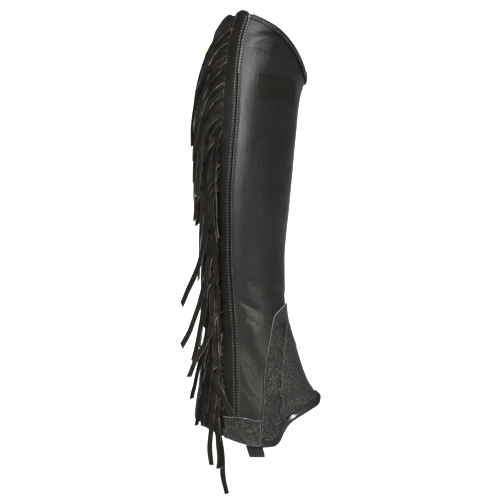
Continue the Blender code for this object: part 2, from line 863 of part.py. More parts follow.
def add_pull(frame):
    """The pull hangs from the slider's bar; its origin is on the bar's axis."""
    eye = BAR_RADIUS + EYE_CLEARANCE
    bm = bmesh.new()
    rod(bm, eye + EYE_WALL, NECK_HALF, 0, 0, 16)
    pull = add_object("zip_pull", mesh_from(bm, "zip_pull"), brass)

    bm = bmesh.new()
    block(bm, (-NECK_HALF, NECK_HALF), (-4.6, -eye - 0.2), (-PULL_THICK / 2, PULL_THICK / 2))
    neck = helper("pull_neck", bm)

    outline = [(-2.0, -4.2), (2.0, -4.2), (PULL_HALF, -7.0), (PULL_HALF, 2 - PULL_LENGTH)]
    outline += [(PULL_HALF - 1.6, -PULL_LENGTH), (1.6 - PULL_HALF, -PULL_LENGTH)]
    outline += [(-PULL_HALF, 2 - PULL_LENGTH), (-PULL_HALF, -7.0)]
    bm = bmesh.new()
    low = [bm.verts.new(Vector((x, y, -PULL_THICK / 2)) * MM) for x, y in outline]
    high = [bm.verts.new(Vector((x, y, PULL_THICK / 2)) * MM) for x, y in outline]
    bm.faces.new(low)
    bm.faces.new(reversed(high))
    for i in range(len(outline)):
        after = (i + 1) % len(outline)
        bm.faces.new((low[i], low[after], high[after], high[i]))
    leaf = helper("pull_leaf", bm)

    bm = bmesh.new()
    rod(bm, eye, NECK_HALF + 1, 0, 0, 16)
    bore = helper("pull_bore", bm)
    bm = bmesh.new()
    block(bm, (-1.4, 1.4), (-PULL_LENGTH + 3, -PULL_LENGTH + 8), (-PULL_THICK, PULL_THICK))
    slot = helper("pull_slot", bm)

    place = frame @ Matrix.Translation(Vector((0, 0, BAR_OUT)) * MM)
    for piece in (pull, neck, leaf, bore, slot):
        piece.matrix_local = place
    for piece, operation in (
        (neck, "UNION"), (leaf, "UNION"), (bore, "DIFFERENCE"), (slot, "DIFFERENCE"),
    ):
        combine(pull, piece, operation)


for old in list(bpy.data.objects):
    bpy.data.objects.remove(old, do_unlink=True)

# The whole chap hangs on one empty, so that the origin is inside the calf
chap = bpy.data.objects.new("chap", None)
bpy.context.collection.objects.link(chap)
chap.location.z = -CALF_HEIGHT * MM

smooth_leather = material("smooth leather", (0.036, 0.035, 0.031), 0.42)
plain_leather = material("plain leather", (0.030, 0.028, 0.026), 0.55)
pebbled_leather = material("pebbled leather", (0.044, 0.044, 0.042), 0.52)
binding_leather = material("binding leather", (0.018, 0.018, 0.018), 0.35)
band_leather = material("band leather", (0.070, 0.066, 0.062), 0.58)
patch_leather = material("patch leather", (0.026, 0.024, 0.022), 0.62)
suede = material("suede", (0.030, 0.026, 0.022), 0.85)
elastic = material("elastic", (0.042, 0.038, 0.035), 0.80)
tape_cloth = material("zip tape", (0.020, 0.020, 0.020), 0.85)
brass = material("brass", (0.56, 0.41, 0.17), 0.32, 1.0)

add_panels()
add_foot_pieces()
add_bindings()
add_patch()
add_ankle_band()
add_stirrup()
add_fringe()
add_zip()
slider_frame = zip_frame()
add_slider(slider_frame)
add_pull(slider_frame)
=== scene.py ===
import math

import bmesh
import bpy
import numpy as np
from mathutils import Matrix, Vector


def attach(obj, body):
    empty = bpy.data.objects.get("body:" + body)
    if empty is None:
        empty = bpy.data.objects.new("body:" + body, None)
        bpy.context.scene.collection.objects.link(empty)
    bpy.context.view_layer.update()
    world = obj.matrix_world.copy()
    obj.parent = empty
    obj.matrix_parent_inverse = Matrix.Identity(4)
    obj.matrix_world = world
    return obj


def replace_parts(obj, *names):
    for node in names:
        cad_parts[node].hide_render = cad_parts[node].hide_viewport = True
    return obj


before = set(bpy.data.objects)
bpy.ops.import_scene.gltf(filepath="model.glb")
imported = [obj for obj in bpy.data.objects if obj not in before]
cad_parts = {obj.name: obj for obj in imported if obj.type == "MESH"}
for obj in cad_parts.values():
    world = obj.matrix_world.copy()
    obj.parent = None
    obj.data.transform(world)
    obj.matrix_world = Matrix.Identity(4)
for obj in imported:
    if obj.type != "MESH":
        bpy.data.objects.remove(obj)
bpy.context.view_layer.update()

mm = 0.001


def mirrored(rows):              # creases on one side of the leg, and the same on the other side
    return rows + [(-angle, height, length, width, -slant, depth)
                   for angle, height, length, width, slant, depth in rows]


print("stage 1: the packed frame is in,", len(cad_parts), "nodes")

# The leg form, which every piece is laid on: mm, degrees, heights from the hem
legForm = {
    "calfHeight": 327.0,
    "innerSeam": -35.0,
    "foldRadius": 45.0,
    "rings": [                # height, back, front, half width, how much the shin narrows
        (-16, -55.1, 110.0, 36.5, 0.46), (0, -55.1, 104.0, 36.5, 0.46),
        (28, -54.9, 89.0, 36.8, 0.42), (51, -52.7, 73.8, 37.2, 0.38),
        (60, -51.0, 64.0, 37.6, 0.34), (72, -49.6, 57.8, 38.0, 0.30),
        (96, -46.4, 49.8, 38.8, 0.22), (121, -44.2, 43.6, 40.2, 0.17),
        (142, -44.2, 40.2, 41.5, 0.15), (162, -45.2, 39.6, 43.0, 0.14),
        (195, -47.2, 39.6, 46.5, 0.13), (245, -50.3, 43.9, 52.0, 0.12),
        (286, -51.8, 47.9, 55.0, 0.12), (327, -51.6, 51.6, 56.0, 0.11),
        (360, -49.0, 55.2, 56.0, 0.10), (382, -45.4, 61.4, 55.5, 0.09),
        (430, -34.4, 69.5, 53.0, 0.07), (462, -27.0, 73.5, 50.5, 0.06),
    ],
    "topEdge": [              # angle from the shin by the outer side, height
        (0, 380.6), (21, 390.2), (35, 401.0), (48, 412.0), (62, 423.2), (76, 432.6),
        (90, 439.2), (106, 445.4), (120, 450.4), (133, 445.4), (139, 447.4), (149, 444.0),
        (160, 436.0), (180, 426.0), (205, 409.0), (240, 392.0), (280, 384.0), (320, 380.0),
        (360, 380.6),
    ],
    "hem": [                  # angle from the toe's tip, height
        (0, 52.2), (14, 48.4), (27, 43.0), (41, 38.6), (62, 29.4), (71, 23.2), (78, 14.3),
        (83, 5.7), (88, 1.2), (96, 0.5), (109, 2.4), (116, 6.0), (128, 10.4), (146, 18.0),
        (160, 23.0), (180, 29.4),
    ],
    "outerSeam": [            # height, reach before or behind the leg's axis
        (0, -10.6), (34, -10.7), (74, -11.4), (116, -12.4), (157, -15.1), (197, -17.2),
        (252, -17.5), (291, -15.5), (342, -11.4), (384, -9.2), (418, -5.4), (444, 2.0),
    ],
    "zipLine": [(0, 160.0), (200, 161.0), (330, 170.0), (430, 177.0)],
    "folds": [                # angle, height, length, width, slant, depth
        (78, 119, 26, 9, 45, 0.6), (66, 168, 28, 10, 20, -0.6), (206, 140, 22, 10, 8, -0.9),
    ] + mirrored([(84, 143, 30, 8, 28, -1.0), (91, 101, 40, 8, 62, -1.1)]),
}


def unit(vectors):
    return vectors / np.linalg.norm(vectors, axis=-1, keepdims=True)


def curveThrough(rows):
    table = np.array(rows, float)
    places = table[:, 0]
    steps = np.diff(table[:, 1:], axis=0) / np.diff(places)[:, None]
    slopes = np.empty_like(table[:, 1:])
    slopes[0], slopes[-1] = steps[0], steps[-1]
    before, after = steps[:-1], steps[1:]
    sameWay = before * after > 0
    slopes[1:-1] = np.where(sameWay, 2 * before * after / np.where(sameWay, before + after, 1), 0)

    def read(place):
        place = np.clip(np.asarray(place, float), places[0], places[-1])
        i = np.clip(np.searchsorted(places, place, side="left") - 1, 0, len(places) - 2)
        span = (places[i + 1] - places[i])[..., None]
        t = (place - places[i])[..., None] / span
        low, high = table[i, 1:], table[i + 1, 1:]
        value = low * (1 + 2 * t) * (1 - t) ** 2 + slopes[i] * span * t * (1 - t) ** 2
        return value + high * t * t * (3 - 2 * t) - slopes[i + 1] * span * t * t * (1 - t)

    return read


def lineThrough(rows):           # the same for a table with one value a row
    read = curveThrough(rows)
    return lambda place: read(place)[..., 0]


def edgeThrough(rows):           # an edge that is alike on both sides of the shin
    line = lineThrough(rows)
    return lambda angle: line(180 - np.abs(np.asarray(angle, float) % 360 - 180))


ringAt, topAt = curveThrough(legForm["rings"]), lineThrough(legForm["topEdge"])
hemHeight = edgeThrough(legForm["hem"])
seamReachAt, zipAngle = lineThrough(legForm["outerSeam"]), lineThrough(legForm["zipLine"])


def topHeight(angle):
    return topAt(np.asarray(angle, float) % 360)


def formPoint(angle, height):
    angle, height = np.broadcast_arrays(np.asarray(angle, float), np.asarray(height, float))
    back, front, halfWidth, shin = np.moveaxis(ringAt(height), -1, 0)
    turn = np.radians(angle)
    across = halfWidth * np.sin(turn) * (1 - shin * np.cos(turn))
    middle, reach = (front + back) / 2, (front - back) / 2
    return np.stack([middle + reach * np.cos(turn), -across, height], -1)


def formFrame(angle, height):    # the form's point, its directions round and up, and outwards
    around = formPoint(angle + 0.5, height) - formPoint(angle - 0.5, height)
    upward = formPoint(angle, height + 0.5) - formPoint(angle, height - 0.5)
    return formPoint(angle, height), around, upward, unit(np.cross(upward, around))


def degreesFor(length, angle, height):
    around = formPoint(angle + 0.5, height) - formPoint(angle - 0.5, height)
    return length / np.linalg.norm(around, axis=-1)


def seamAngle(height):           # the stitched outer seam
    back, front, _, _ = np.moveaxis(ringAt(height), -1, 0)
    return np.degrees(np.arccos((seamReachAt(height) - (front + back) / 2) / ((front - back) / 2)))


def sideOf(line, length=0.0):    # a wall's side: mm beside a seam or a fixed angle, at any height
    if callable(line):
        return lambda height: line(height) + degreesFor(length, line(height), height)
    return lambda height: line + degreesFor(length, line, height) + 0 * height


def level(height):
    return lambda angle: height + 0 * angle


def foldHeight(folds, angle, height, ridge=0.0):
    total = np.zeros(np.broadcast(angle, height).shape)
    for foldAngle, foldLevel, length, width, slant, depth in folds:
        turned = (angle - foldAngle + 180) % 360 - 180
        away = np.radians(turned) * legForm["foldRadius"]
        up = height - foldLevel
        lean = math.radians(slant)
        along = away * math.cos(lean) + up * math.sin(lean)
        across = (up * math.cos(lean) - away * math.sin(lean)) / width
        if ridge:                # a crease bends a little and has a soft ridge on one side
            across = across + 0.35 * np.sin(along / length * 3.1 + foldLevel)
        trough = np.exp(-across ** 2) - ridge * np.exp(-(across - 1.6) ** 2)
        total += depth * trough * np.exp(-(2 * along / length) ** 2)
    return total


def legPoint(angle, height, out):    # a point so far out from the leather's face, in metres in the frame
    point, _, _, outward = formFrame(angle, height)
    lift = out + foldHeight(legForm["folds"], angle, height)
    point = point + outward * lift[..., None]
    point[..., 2] -= legForm["calfHeight"]
    return point * mm


# Materials
def addNode(tree, kind, inputs=None, **settings):
    made = tree.nodes.new("ShaderNode" + kind)
    for key, value in settings.items():
        setattr(made, key, value)
    for key, value in (inputs or {}).items():
        if isinstance(value, bpy.types.NodeSocket):
            tree.links.new(value, made.inputs[key])
        else:
            made.inputs[key].default_value = value
    return made


def startMaterial(name, **constants):
    made = bpy.data.materials.new(name)
    made.use_nodes = True
    shader = made.node_tree.nodes["Principled BSDF"]
    for key, value in constants.items():
        shader.inputs[key.replace("_", " ")].default_value = value
    return made, made.node_tree, shader


def blendColours(tree, share, low, high):
    mix = addNode(tree, "Mix", data_type="RGBA")
    for socket, value in ((0, share), (6, low), (7, high)):
        if isinstance(value, bpy.types.NodeSocket):
            tree.links.new(value, mix.inputs[socket])
        else:
            mix.inputs[socket].default_value = (*value, 1.0)
    return mix.outputs[2]


def mapped(tree, *values):       # value, from, to, and what those become, or else 0 and 1
    return addNode(tree, "MapRange", dict(enumerate(values))).outputs[0]


def noise(tree, place, scale, detail=2.0, **more):
    return addNode(tree, "TexNoise", {"Vector": place, "Scale": scale, "Detail": detail, **more}).outputs[0]


def moved(tree, place, **how):
    return addNode(tree, "Mapping", {"Vector": place, **how}).outputs[0]


def reckon(tree, operation, *values):
    return addNode(tree, "Math", dict(enumerate(values)), operation=operation).outputs[0]


def stacked(tree, *heights):     # adds up (socket, weight) pairs
    total = 0.0
    for socket, weight in heights:
        total = reckon(tree, "MULTIPLY_ADD", socket, weight, total)
    return total


def toned(tree, colour, tone):
    return addNode(tree, "MixRGB", {0: 1.0, 1: colour, 2: tone}, blend_type="MULTIPLY").outputs[0]


def objectPlace(tree):
    return addNode(tree, "TexCoord").outputs["Object"]


def finishShader(tree, shader, colour, height, strength=1.0):
    tree.links.new(colour, shader.inputs["Base Color"])
    bump = addNode(tree, "Bump", {"Strength": strength, "Distance": mm, "Height": height})
    tree.links.new(bump.outputs[0], shader.inputs["Normal"])


# shine: specular, coat and the coat's roughness; grain: its size and how deep the pebbles, the fine
# skin, the broad clouds and the mottling go, in mm; pore is painted shade in the grain's valleys, crest a
# painted highlight on its tops, and the last value of each is its share
leatherLooks = {
    "smooth": {
        "shine": (0.5, 0.12, 0.28), "roughness": (0.30, 0.41), "grain": (1.0, 0.045, 0.05, 0.5, 0.45),
        "dark": (0.0080, 0.0075, 0.0058), "light": (0.0135, 0.0128, 0.0102),
        "poreShade": (0.005, 0.005, 0.004, 0.35),
    },
    "plain": {
        "shine": (0.45, 0.0, 0.03), "roughness": (0.45, 0.58), "grain": (1.1, 0.06, 0.04, 0.2, 0.22),
        "dark": (0.0128, 0.012, 0.0112), "light": (0.0208, 0.0192, 0.0176),
        "poreShade": (0.008, 0.008, 0.007, 0.4),
    },
    "pebbled": {
        "shine": (0.55, 0.0, 0.03), "roughness": (0.36, 0.46), "grain": (2.5, 0.7, 0.06, 0.25, 0.6),
        "dark": (0.0085, 0.0085, 0.0075), "light": (0.015, 0.015, 0.0135), "poreShade": (0.004, 0.004, 0.003, 0.8),
        "crestHighlight": (0.125, 0.125, 0.115, 0.9), "raw": (0.40, 0.45, 0.43),
    },
    "binding": {
        "shine": (0.4, 0.15, 0.25), "roughness": (0.30, 0.40), "grain": (0.8, 0.03, 0.02, 0.1, 0.08),
        "dark": (0.005, 0.005, 0.0055), "light": (0.009, 0.009, 0.0095), "poreShade": (0.006, 0.006, 0.006, 0.3),
    },
    "glossy": {
        "shine": (0.2, 0.8, 0.11), "roughness": (0.40, 0.50), "grain": (0.8, 0.02, 0.015, 0.1, 0.06),
        "dark": (0.008, 0.008, 0.009), "light": (0.014, 0.014, 0.015), "poreShade": (0.005, 0.005, 0.005, 0.3),
    },
    "patch": {
        "shine": (0.2, 0.0, 0.03), "roughness": (0.55, 0.68), "grain": (0.8, 0.03, 0.03, 0.06, 0.05),
        "dark": (0.012, 0.011, 0.009), "light": (0.021, 0.019, 0.016), "poreShade": (0.006, 0.006, 0.005, 0.4),
    },
    "band": {                    # wrinkles: mm apart, slant from upright, depth
        "shine": (0.5, 0.0, 0.03), "roughness": (0.34, 0.46), "grain": (1.1, 0.05, 0.04, 0.2, 0.6),
        "dark": (0.012, 0.0115, 0.0105), "light": (0.024, 0.023, 0.021), "poreShade": (0.008, 0.007, 0.006, 0.5),
        "wrinkles": (2.0, 44.0, 0.3), "wrinkleWearAndHighlight": (0.165, 0.16, 0.15), "raw": (0.33, 0.36, 0.35),
    },
}


def leather(name, look):
    specular, coat, coatRoughness = look["shine"]
    made, tree, shader = startMaterial(
        name, Specular_IOR_Level=specular, Coat_Weight=coat, Coat_Roughness=coatRoughness)
    size, pebbleDepth, fineDepth, cloudDepth, mottleDepth = look["grain"]
    place = objectPlace(tree)
    cloudy = noise(tree, place, 38.0, 4.0)
    wobble = addNode(tree, "TexNoise", {"Vector": place, "Scale": 260.0}).outputs[1]
    bent = addNode(tree, "MixRGB", {0: 0.0012, 1: place, 2: wobble}, blend_type="ADD").outputs[0]
    cells = addNode(tree, "TexVoronoi", {"Vector": bent, "Scale": 1000.0 / size},
                    feature="DISTANCE_TO_EDGE").outputs[0]
    colour = blendColours(tree, mapped(tree, cloudy, 0.35, 0.7), look["dark"], look["light"])
    # painted shade: darker in the grain's valleys, at the cells' edges
    poreShadeShare = reckon(tree, "MULTIPLY", mapped(tree, cells, 0.0, 0.12, 1.0, 0.0), look["poreShade"][3])
    colour = blendColours(tree, poreShadeShare, colour, look["poreShade"][:3])
    mottled = noise(tree, place, 230.0, 3.0, Roughness=0.6, Distortion=0.4)
    heights = [(mapped(tree, cells, 0.0, 0.28), pebbleDepth), (noise(tree, place, 1500.0, 3.0), fineDepth),
               (cloudy, cloudDepth), (mottled, mottleDepth)]
    if "crestHighlight" in look:          # painted highlight: paler on the grain's tops, patchy over the skin
        share = look["crestHighlight"][3]
        uneven = mapped(tree, cloudy, 0.40, 0.60, share * 0.5, share)
        litTops = reckon(tree, "MULTIPLY", mapped(tree, cells, 0.10, 0.30), uneven)
        colour = blendColours(tree, litTops, colour, look["crestHighlight"][:3])
    if "wrinkles" in look:       # long thin ridges where a stretched noise crosses its middle value
        apart, slant, depth = look["wrinkles"]
        turned = moved(tree, place, Rotation=(0, math.radians(slant), 0))
        drawn = moved(tree, turned, Scale=(1.0, 1.0, 0.1))
        lines = reckon(tree, "SUBTRACT", noise(tree, drawn, 1000.0 / apart, 1.0, Distortion=0.35), 0.5)
        wrinkles = mapped(tree, reckon(tree, "ABSOLUTE", lines), 0.0, 0.055, 1.0, 0.0)
        # paler along the wrinkle ridges: partly rubbed wear, partly a painted highlight
        colour = blendColours(tree, mapped(tree, wrinkles, 0.3, 1.0, 0.0, 0.8), colour, look["wrinkleWearAndHighlight"])
        heights.append((wrinkles, depth))
    if "raw" in look:            # the cut edge's own colour
        edge = addNode(tree, "Attribute", attribute_name="rawEdge").outputs["Fac"]
        colour = blendColours(tree, edge, colour, look["raw"])
    tree.links.new(mapped(tree, cloudy, 0.3, 0.75, *look["roughness"]), shader.inputs["Roughness"])
    finishShader(tree, shader, colour, stacked(tree, *heights))
    return made


suedeLook = {                    # cut and cutLow: the cut edges' pale colour, partly their own and partly a painted glint, and how much of it is left at the foot
    "constants": {
        "Roughness": 0.52, "Specular_IOR_Level": 0.22, "Sheen_Weight": 0.04, "Sheen_Roughness": 0.5,
    },
    "dark": (0.0032, 0.0025, 0.0018), "light": (0.0165, 0.0130, 0.0090),
    "cut": (0.68, 0.64, 0.58), "cutLow": 0.6, "napDepth": 0.14, "napSize": 0.9,
}


def suede(look):
    made, tree, shader = startMaterial("fringe suede", **look["constants"])
    place = objectPlace(tree)
    nap = noise(tree, place, 1000.0 / look["napSize"], 5.0, Roughness=0.7)
    brushed = noise(tree, place, 95.0, 3.0)
    share = mapped(tree, stacked(tree, (nap, 0.45), (brushed, 0.6)), 0.35, 0.72)
    colour = blendColours(tree, share, look["dark"], look["light"])
    edge = addNode(tree, "Attribute", attribute_name="rawEdge").outputs["Fac"]
    # the cut edges' pale colour, partly a painted glint: patchy along the strands and fainter lower down
    edge = reckon(tree, "MULTIPLY", edge, mapped(tree, brushed, 0.38, 0.66, 0.12, 1.0))
    up = addNode(tree, "SeparateXYZ", {0: place}).outputs[2]
    edge = reckon(tree, "MULTIPLY", edge, mapped(tree, up, 0.0, 0.06, look["cutLow"], 1.0))
    # tone: a brightness for each strand, painted shading that stands in for the strands' differing sheen
    tone = addNode(tree, "SeparateXYZ", {0: addNode(tree, "UVMap", uv_map="lie").outputs[0]}).outputs[0]
    colour = toned(tree, blendColours(tree, edge, colour, look["cut"]), tone)
    finishShader(tree, shader, colour, stacked(tree, (nap, look["napDepth"]), (brushed, 0.2)))
    return made


clothLooks = {                   # ribs: mm apart, slant, depth
    "zip tape": {
        "dark": (0.006, 0.006, 0.006), "light": (0.022, 0.022, 0.021), "ribs": (0.7, 45.0, 0.12),
        "constants": {"Roughness": 0.85, "Sheen_Weight": 0.15},
    },
    "elastic": {
        "dark": (0.010, 0.0088, 0.0078), "light": (0.042, 0.037, 0.033), "ribs": (0.9, 90.0, 0.2),
        "constants": {"Roughness": 0.85, "Sheen_Weight": 0.1},
    },
}
for shade, dark, light, roughness in (
        ("dark", (0.004, 0.004, 0.004), (0.014, 0.014, 0.014), 0.5),
        ("pale", (0.12, 0.12, 0.12), (0.32, 0.32, 0.31), 0.45),
        ("grey", (0.18, 0.18, 0.18), (0.56, 0.56, 0.56), 0.45)):
    clothLooks[shade + " thread"] = {
        "dark": dark, "light": light, "ribs": (0.35, 35.0, 0.06), "constants": {"Roughness": roughness}}
clothLooks["grey thread"]["fade"] = (-0.06, 0.10, 0.50)      # darker at the foot: from, to, how dark


def wovenCloth(name, look):      # ribs at a slant over the piece's own length and width
    made, tree, shader = startMaterial(name, **look["constants"])
    pitch, slant, depth = look["ribs"]
    lie = addNode(tree, "UVMap", uv_map="lie").outputs[0]
    turned = moved(tree, lie, Rotation=(0, 0, math.radians(slant)))
    ribs = addNode(tree, "TexWave", {
        "Vector": turned, "Scale": 314.16 / pitch, "Distortion": 0.6, "Detail": 1.0, "Detail Scale": 2.0,
    }).outputs["Fac"]
    fuzz = noise(tree, lie, 2600.0, 3.0)
    colour = blendColours(tree, stacked(tree, (ribs, 0.7), (fuzz, 0.35)), look["dark"], look["light"])
    if "fade" in look:
        low, high, least = look["fade"]
        up = addNode(tree, "SeparateXYZ", {0: objectPlace(tree)}).outputs[2]
        colour = toned(tree, colour, mapped(tree, up, low, high, least, 1.0))
    finishShader(tree, shader, colour, stacked(tree, (ribs, depth), (fuzz, depth * 0.5)))
    return made


brassLook = {"bright": (0.62, 0.47, 0.21), "worn": (0.30, 0.21, 0.09), "roughness": (0.22, 0.48)}


def brass(look):
    made, tree, shader = startMaterial("worn brass", Metallic=1.0)
    place = objectPlace(tree)
    stain = mapped(tree, noise(tree, place, 320.0, 4.0), 0.35, 0.7)
    drawn = moved(tree, place, Scale=(4000.0, 4000.0, 300.0))
    scratch = noise(tree, drawn, 5.0)
    tree.links.new(mapped(tree, scratch, 0.3, 0.7, *look["roughness"]), shader.inputs["Roughness"])
    finishShader(tree, shader, blendColours(tree, stain, look["bright"], look["worn"]), scratch, 0.04)
    return made


finishes = {kind: leather(kind + " leather", look) for kind, look in leatherLooks.items()}
finishes.update({name: wovenCloth(name, look) for name, look in clothLooks.items()})
finishes.update(suede=suede(suedeLook), brass=brass(brassLook))
print("stage 2: materials")


# How walls are laid
def newObject(name, points, faces, finish):
    mesh = bpy.data.meshes.new(name)
    mesh.from_pydata(points.reshape(-1, 3).tolist(), [], faces)
    mesh.materials.append(finish)
    mesh.shade_smooth()
    made = bpy.data.objects.new(name, mesh)
    bpy.context.scene.collection.objects.link(made)
    return made


def placeMesh(name, points, faces, finish, lie=None, rawEdge=None):
    made = newObject(name, points, faces, finishes[finish])
    mesh = made.data
    shape = bmesh.new()
    shape.from_mesh(mesh)
    bmesh.ops.recalc_face_normals(shape, faces=shape.faces)
    shape.to_mesh(mesh)
    shape.free()
    if lie is not None:          # each point's place on its own sheet, for the weave
        layer = mesh.uv_layers.new(name="lie")
        corners = np.zeros(len(mesh.loops), np.int32)
        mesh.loops.foreach_get("vertex_index", corners)
        layer.data.foreach_set("uv", lie.reshape(-1, 2)[corners].astype(np.float32).ravel())
    if rawEdge is not None:      # how much of the cut edge's colour a point shows
        attribute = mesh.attributes.new("rawEdge", "FLOAT", "POINT")
        attribute.data.foreach_set("value", rawEdge.astype(np.float32).ravel())
    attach(made, "chap")
    return made


def wallFaces(rows, columns):
    index = np.arange(rows * columns).reshape(rows, columns)
    quads = np.stack([index[:-1, :-1], index[1:, :-1], index[1:, 1:], index[:-1, 1:]], -1).reshape(-1, 4)
    rim = np.concatenate([index[0, :-1], index[:-1, -1], index[-1, :0:-1], index[:0:-1, 0]])
    nextRim, inside = np.roll(rim, -1), rows * columns
    border = np.stack([rim, nextRim, nextRim + inside, rim + inside], -1)
    return np.concatenate([quads, quads[:, ::-1] + inside, border]).tolist()


def tubeFaces(count, rings, sides, start=0):     # tubes of rings with closed ends
    index = np.arange(rings * sides).reshape(rings, sides)
    following = np.roll(index, -1, 1)
    quads = np.stack([index[:-1], index[1:], following[1:], following[:-1]], -1).reshape(-1, 4)
    faces = []
    for base in start + np.arange(count) * rings * sides:
        faces += (quads + base).tolist() + [(index[0] + base).tolist(), (index[-1, ::-1] + base).tolist()]
    return faces


def lengthAlong(points):
    return np.concatenate([[0], np.cumsum(np.linalg.norm(np.diff(points, axis=0), axis=1))])


def readAlong(places, reach, rows):
    return np.stack([np.interp(places, reach, column) for column in rows.T], -1)


def edgeDrop(distance, radius):  # how far a rounded edge falls away
    short = np.clip(radius - distance, 0, radius)
    return radius - np.sqrt(radius ** 2 - short ** 2)


plainEdge = (0.0, 0.12, 0.4, 0.9, 1.8)


def spacing(count, first, last, crowd=1.0):      # mm from both sides, and the share of the way between
    between = np.linspace(0, 1, count + 1)[1:-1] ** crowd
    n, m, k = len(first), len(last), len(between)
    fromFirst = np.concatenate([first, [first[-1]] * (k + m)])
    fromLast = np.concatenate([[last[-1]] * (n + k), last[::-1]])
    return fromFirst, fromLast, np.concatenate([[0] * n, between, [1] * m])


class Grid:                      # a wall's points: angles, heights, and mm from each of its sides
    def __init__(self, angle, height, first, last, low, high):
        self.angle, self.height = angle, height
        self.first, self.last, self.low, self.high = first, last, low, high
        self.sides = np.minimum(first, last)
        self.border = np.clip(np.minimum.reduce([first, last, low, high]), 0, None)


def layGrid(columns, rows, firstSide, lastSide, lowEdge, highEdge,
            firstFine=plainEdge, lastFine=plainEdge, highFine=plainEdge, crowd=1.0):
    fromFirst, fromLast, share = spacing(columns, firstFine, lastFine)

    def columnAngles(heights):
        first, last = firstSide(heights), lastSide(heights)
        start = first + degreesFor(fromFirst, first, heights)
        return start + (last - degreesFor(fromLast, last, heights) - start) * share

    ends = []
    for edge in (lowEdge, highEdge):
        height = np.full(len(share), legForm["calfHeight"])
        for _ in range(14):      # the edge's height where each column meets it
            height = edge(columnAngles(height))
        ends.append(height)
    low, high = ends
    fromLow, fromHigh, climb = (part[:, None] for part in spacing(rows, plainEdge, highFine, crowd))
    height = low + fromLow + (high - fromHigh - low - fromLow) * climb
    angle = columnAngles(height)
    per = degreesFor(1.0, angle, height)
    return Grid(angle, height, (angle - firstSide(height)) / per, (lastSide(height) - angle) / per,
                height - low, high - height)


def layWall(name, grid, outer, inner, finish, raw):
    points = np.stack([legPoint(grid.angle, grid.height, out + 0 * raw) for out in (outer, inner)])
    lie = np.stack([grid.first, grid.height], -1) * mm
    return placeMesh(name, points, wallFaces(*raw.shape), finish, np.stack([lie, lie]),
                     np.stack([raw, raw]))


def unevenness(grid, amount):    # the leather's slight waves
    across, height = np.radians(grid.angle) * legForm["foldRadius"], grid.height
    wave = np.sin(across / 7.1 + height / 23.0) * np.sin(height / 11.7 - across / 17.0)
    wave = wave + 0.7 * np.sin(across / 12.3 - height / 19.1 + 1.3)
    return amount * (wave + 0.5 * np.sin(height / 6.3 + across / 9.0)) / 2


def bell(distance, middle, width):
    return np.exp(-((distance - middle) / width) ** 2)


def stitchDent(distance, row, depth=0.22, width=0.5):
    return -depth * bell(distance, row, width)


def leatherRelief(look, grid):
    folds = foldHeight(look["creases"], grid.angle, grid.height, look.get("ridge", 0.45))
    return unevenness(grid, look["unevenness"]) + folds


def standFor(made, look):
    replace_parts(made, look["node"])
    return made


def sewWall(name, look, grid, relief, innerRelief=0.0):
    inside, outside = look["faces"]
    drop = edgeDrop(grid.border, min(0.9, (outside - inside) * 0.48))
    raw = np.clip(1.2 - grid.border / 0.7, 0, 1) * look.get("rawShare", 1.0)
    made = layWall(name, grid, outside + relief - drop, inside + innerRelief + drop, look["finish"], raw)
    return standFor(made, look)


stitchLooks = {                  # mm between stitches, a stitch's length and half thickness, its slant
    "seam": {"pitch": 3.1, "length": 2.2, "radius": 0.46, "slant": 34, "thread": "grey thread"},
    "dark": {"pitch": 2.6, "length": 1.9, "radius": 0.26, "slant": 8, "thread": "dark thread"},
    "fine": {"pitch": 1.75, "length": 1.3, "radius": 0.23, "slant": 10, "thread": "dark thread"},
    "dots": {"pitch": 2.4, "length": 1.4, "radius": 0.5, "slant": 10, "thread": "pale thread"},
    "bars": {"pitch": 2.5, "length": 3.0, "radius": 0.30, "slant": 90, "thread": "pale thread"},
}


def stitchRow(name, angle, height, out, look):
    look = stitchLooks[look]
    point = legPoint(angle, height, out + 0 * height)
    reach = lengthAlong(point)
    count = int(reach[-1] / (look["pitch"] * mm))
    places = (np.arange(count) + 0.5) * reach[-1] / count
    middle = readAlong(places, reach, point)
    along = unit(readAlong(places + 0.4 * mm, reach, point) - readAlong(places - 0.4 * mm, reach, point))
    up = readAlong(places, reach, formFrame(angle, height)[3])
    up = unit(up - along * np.sum(up * along, 1, keepdims=True))
    sideways = np.cross(up, along)
    lean = math.radians(look["slant"])
    along, sideways = (along * math.cos(lean) + sideways * math.sin(lean),
                       sideways * math.cos(lean) - along * math.sin(lean))
    rings, sides = 7, 8
    t = np.linspace(-1, 1, rings)[:, None]
    turn = np.linspace(0, 2 * math.pi, sides, endpoint=False)[None]
    radius = look["radius"] * np.sqrt(np.clip(1 - 0.8 * t ** 6, 0, 1))
    alongPart = t * look["length"] / 2 + 0 * turn
    upPart = radius * np.sin(turn) * 0.85 + look["radius"] * (0.45 - 1.3 * t ** 4)
    local = np.stack([alongPart, radius * np.cos(turn), upPart], -1) * mm
    points = middle[:, None, None] + np.einsum("rsk,nkx->nrsx", local, np.stack([along, sideways, up], 1))
    lie = np.stack([alongPart, turn * look["radius"] + 0 * t], -1) * mm
    return placeMesh(name, points, tubeFaces(count, rings, sides), look["thread"],
                     np.broadcast_to(lie, (count, rings, sides, 2)))


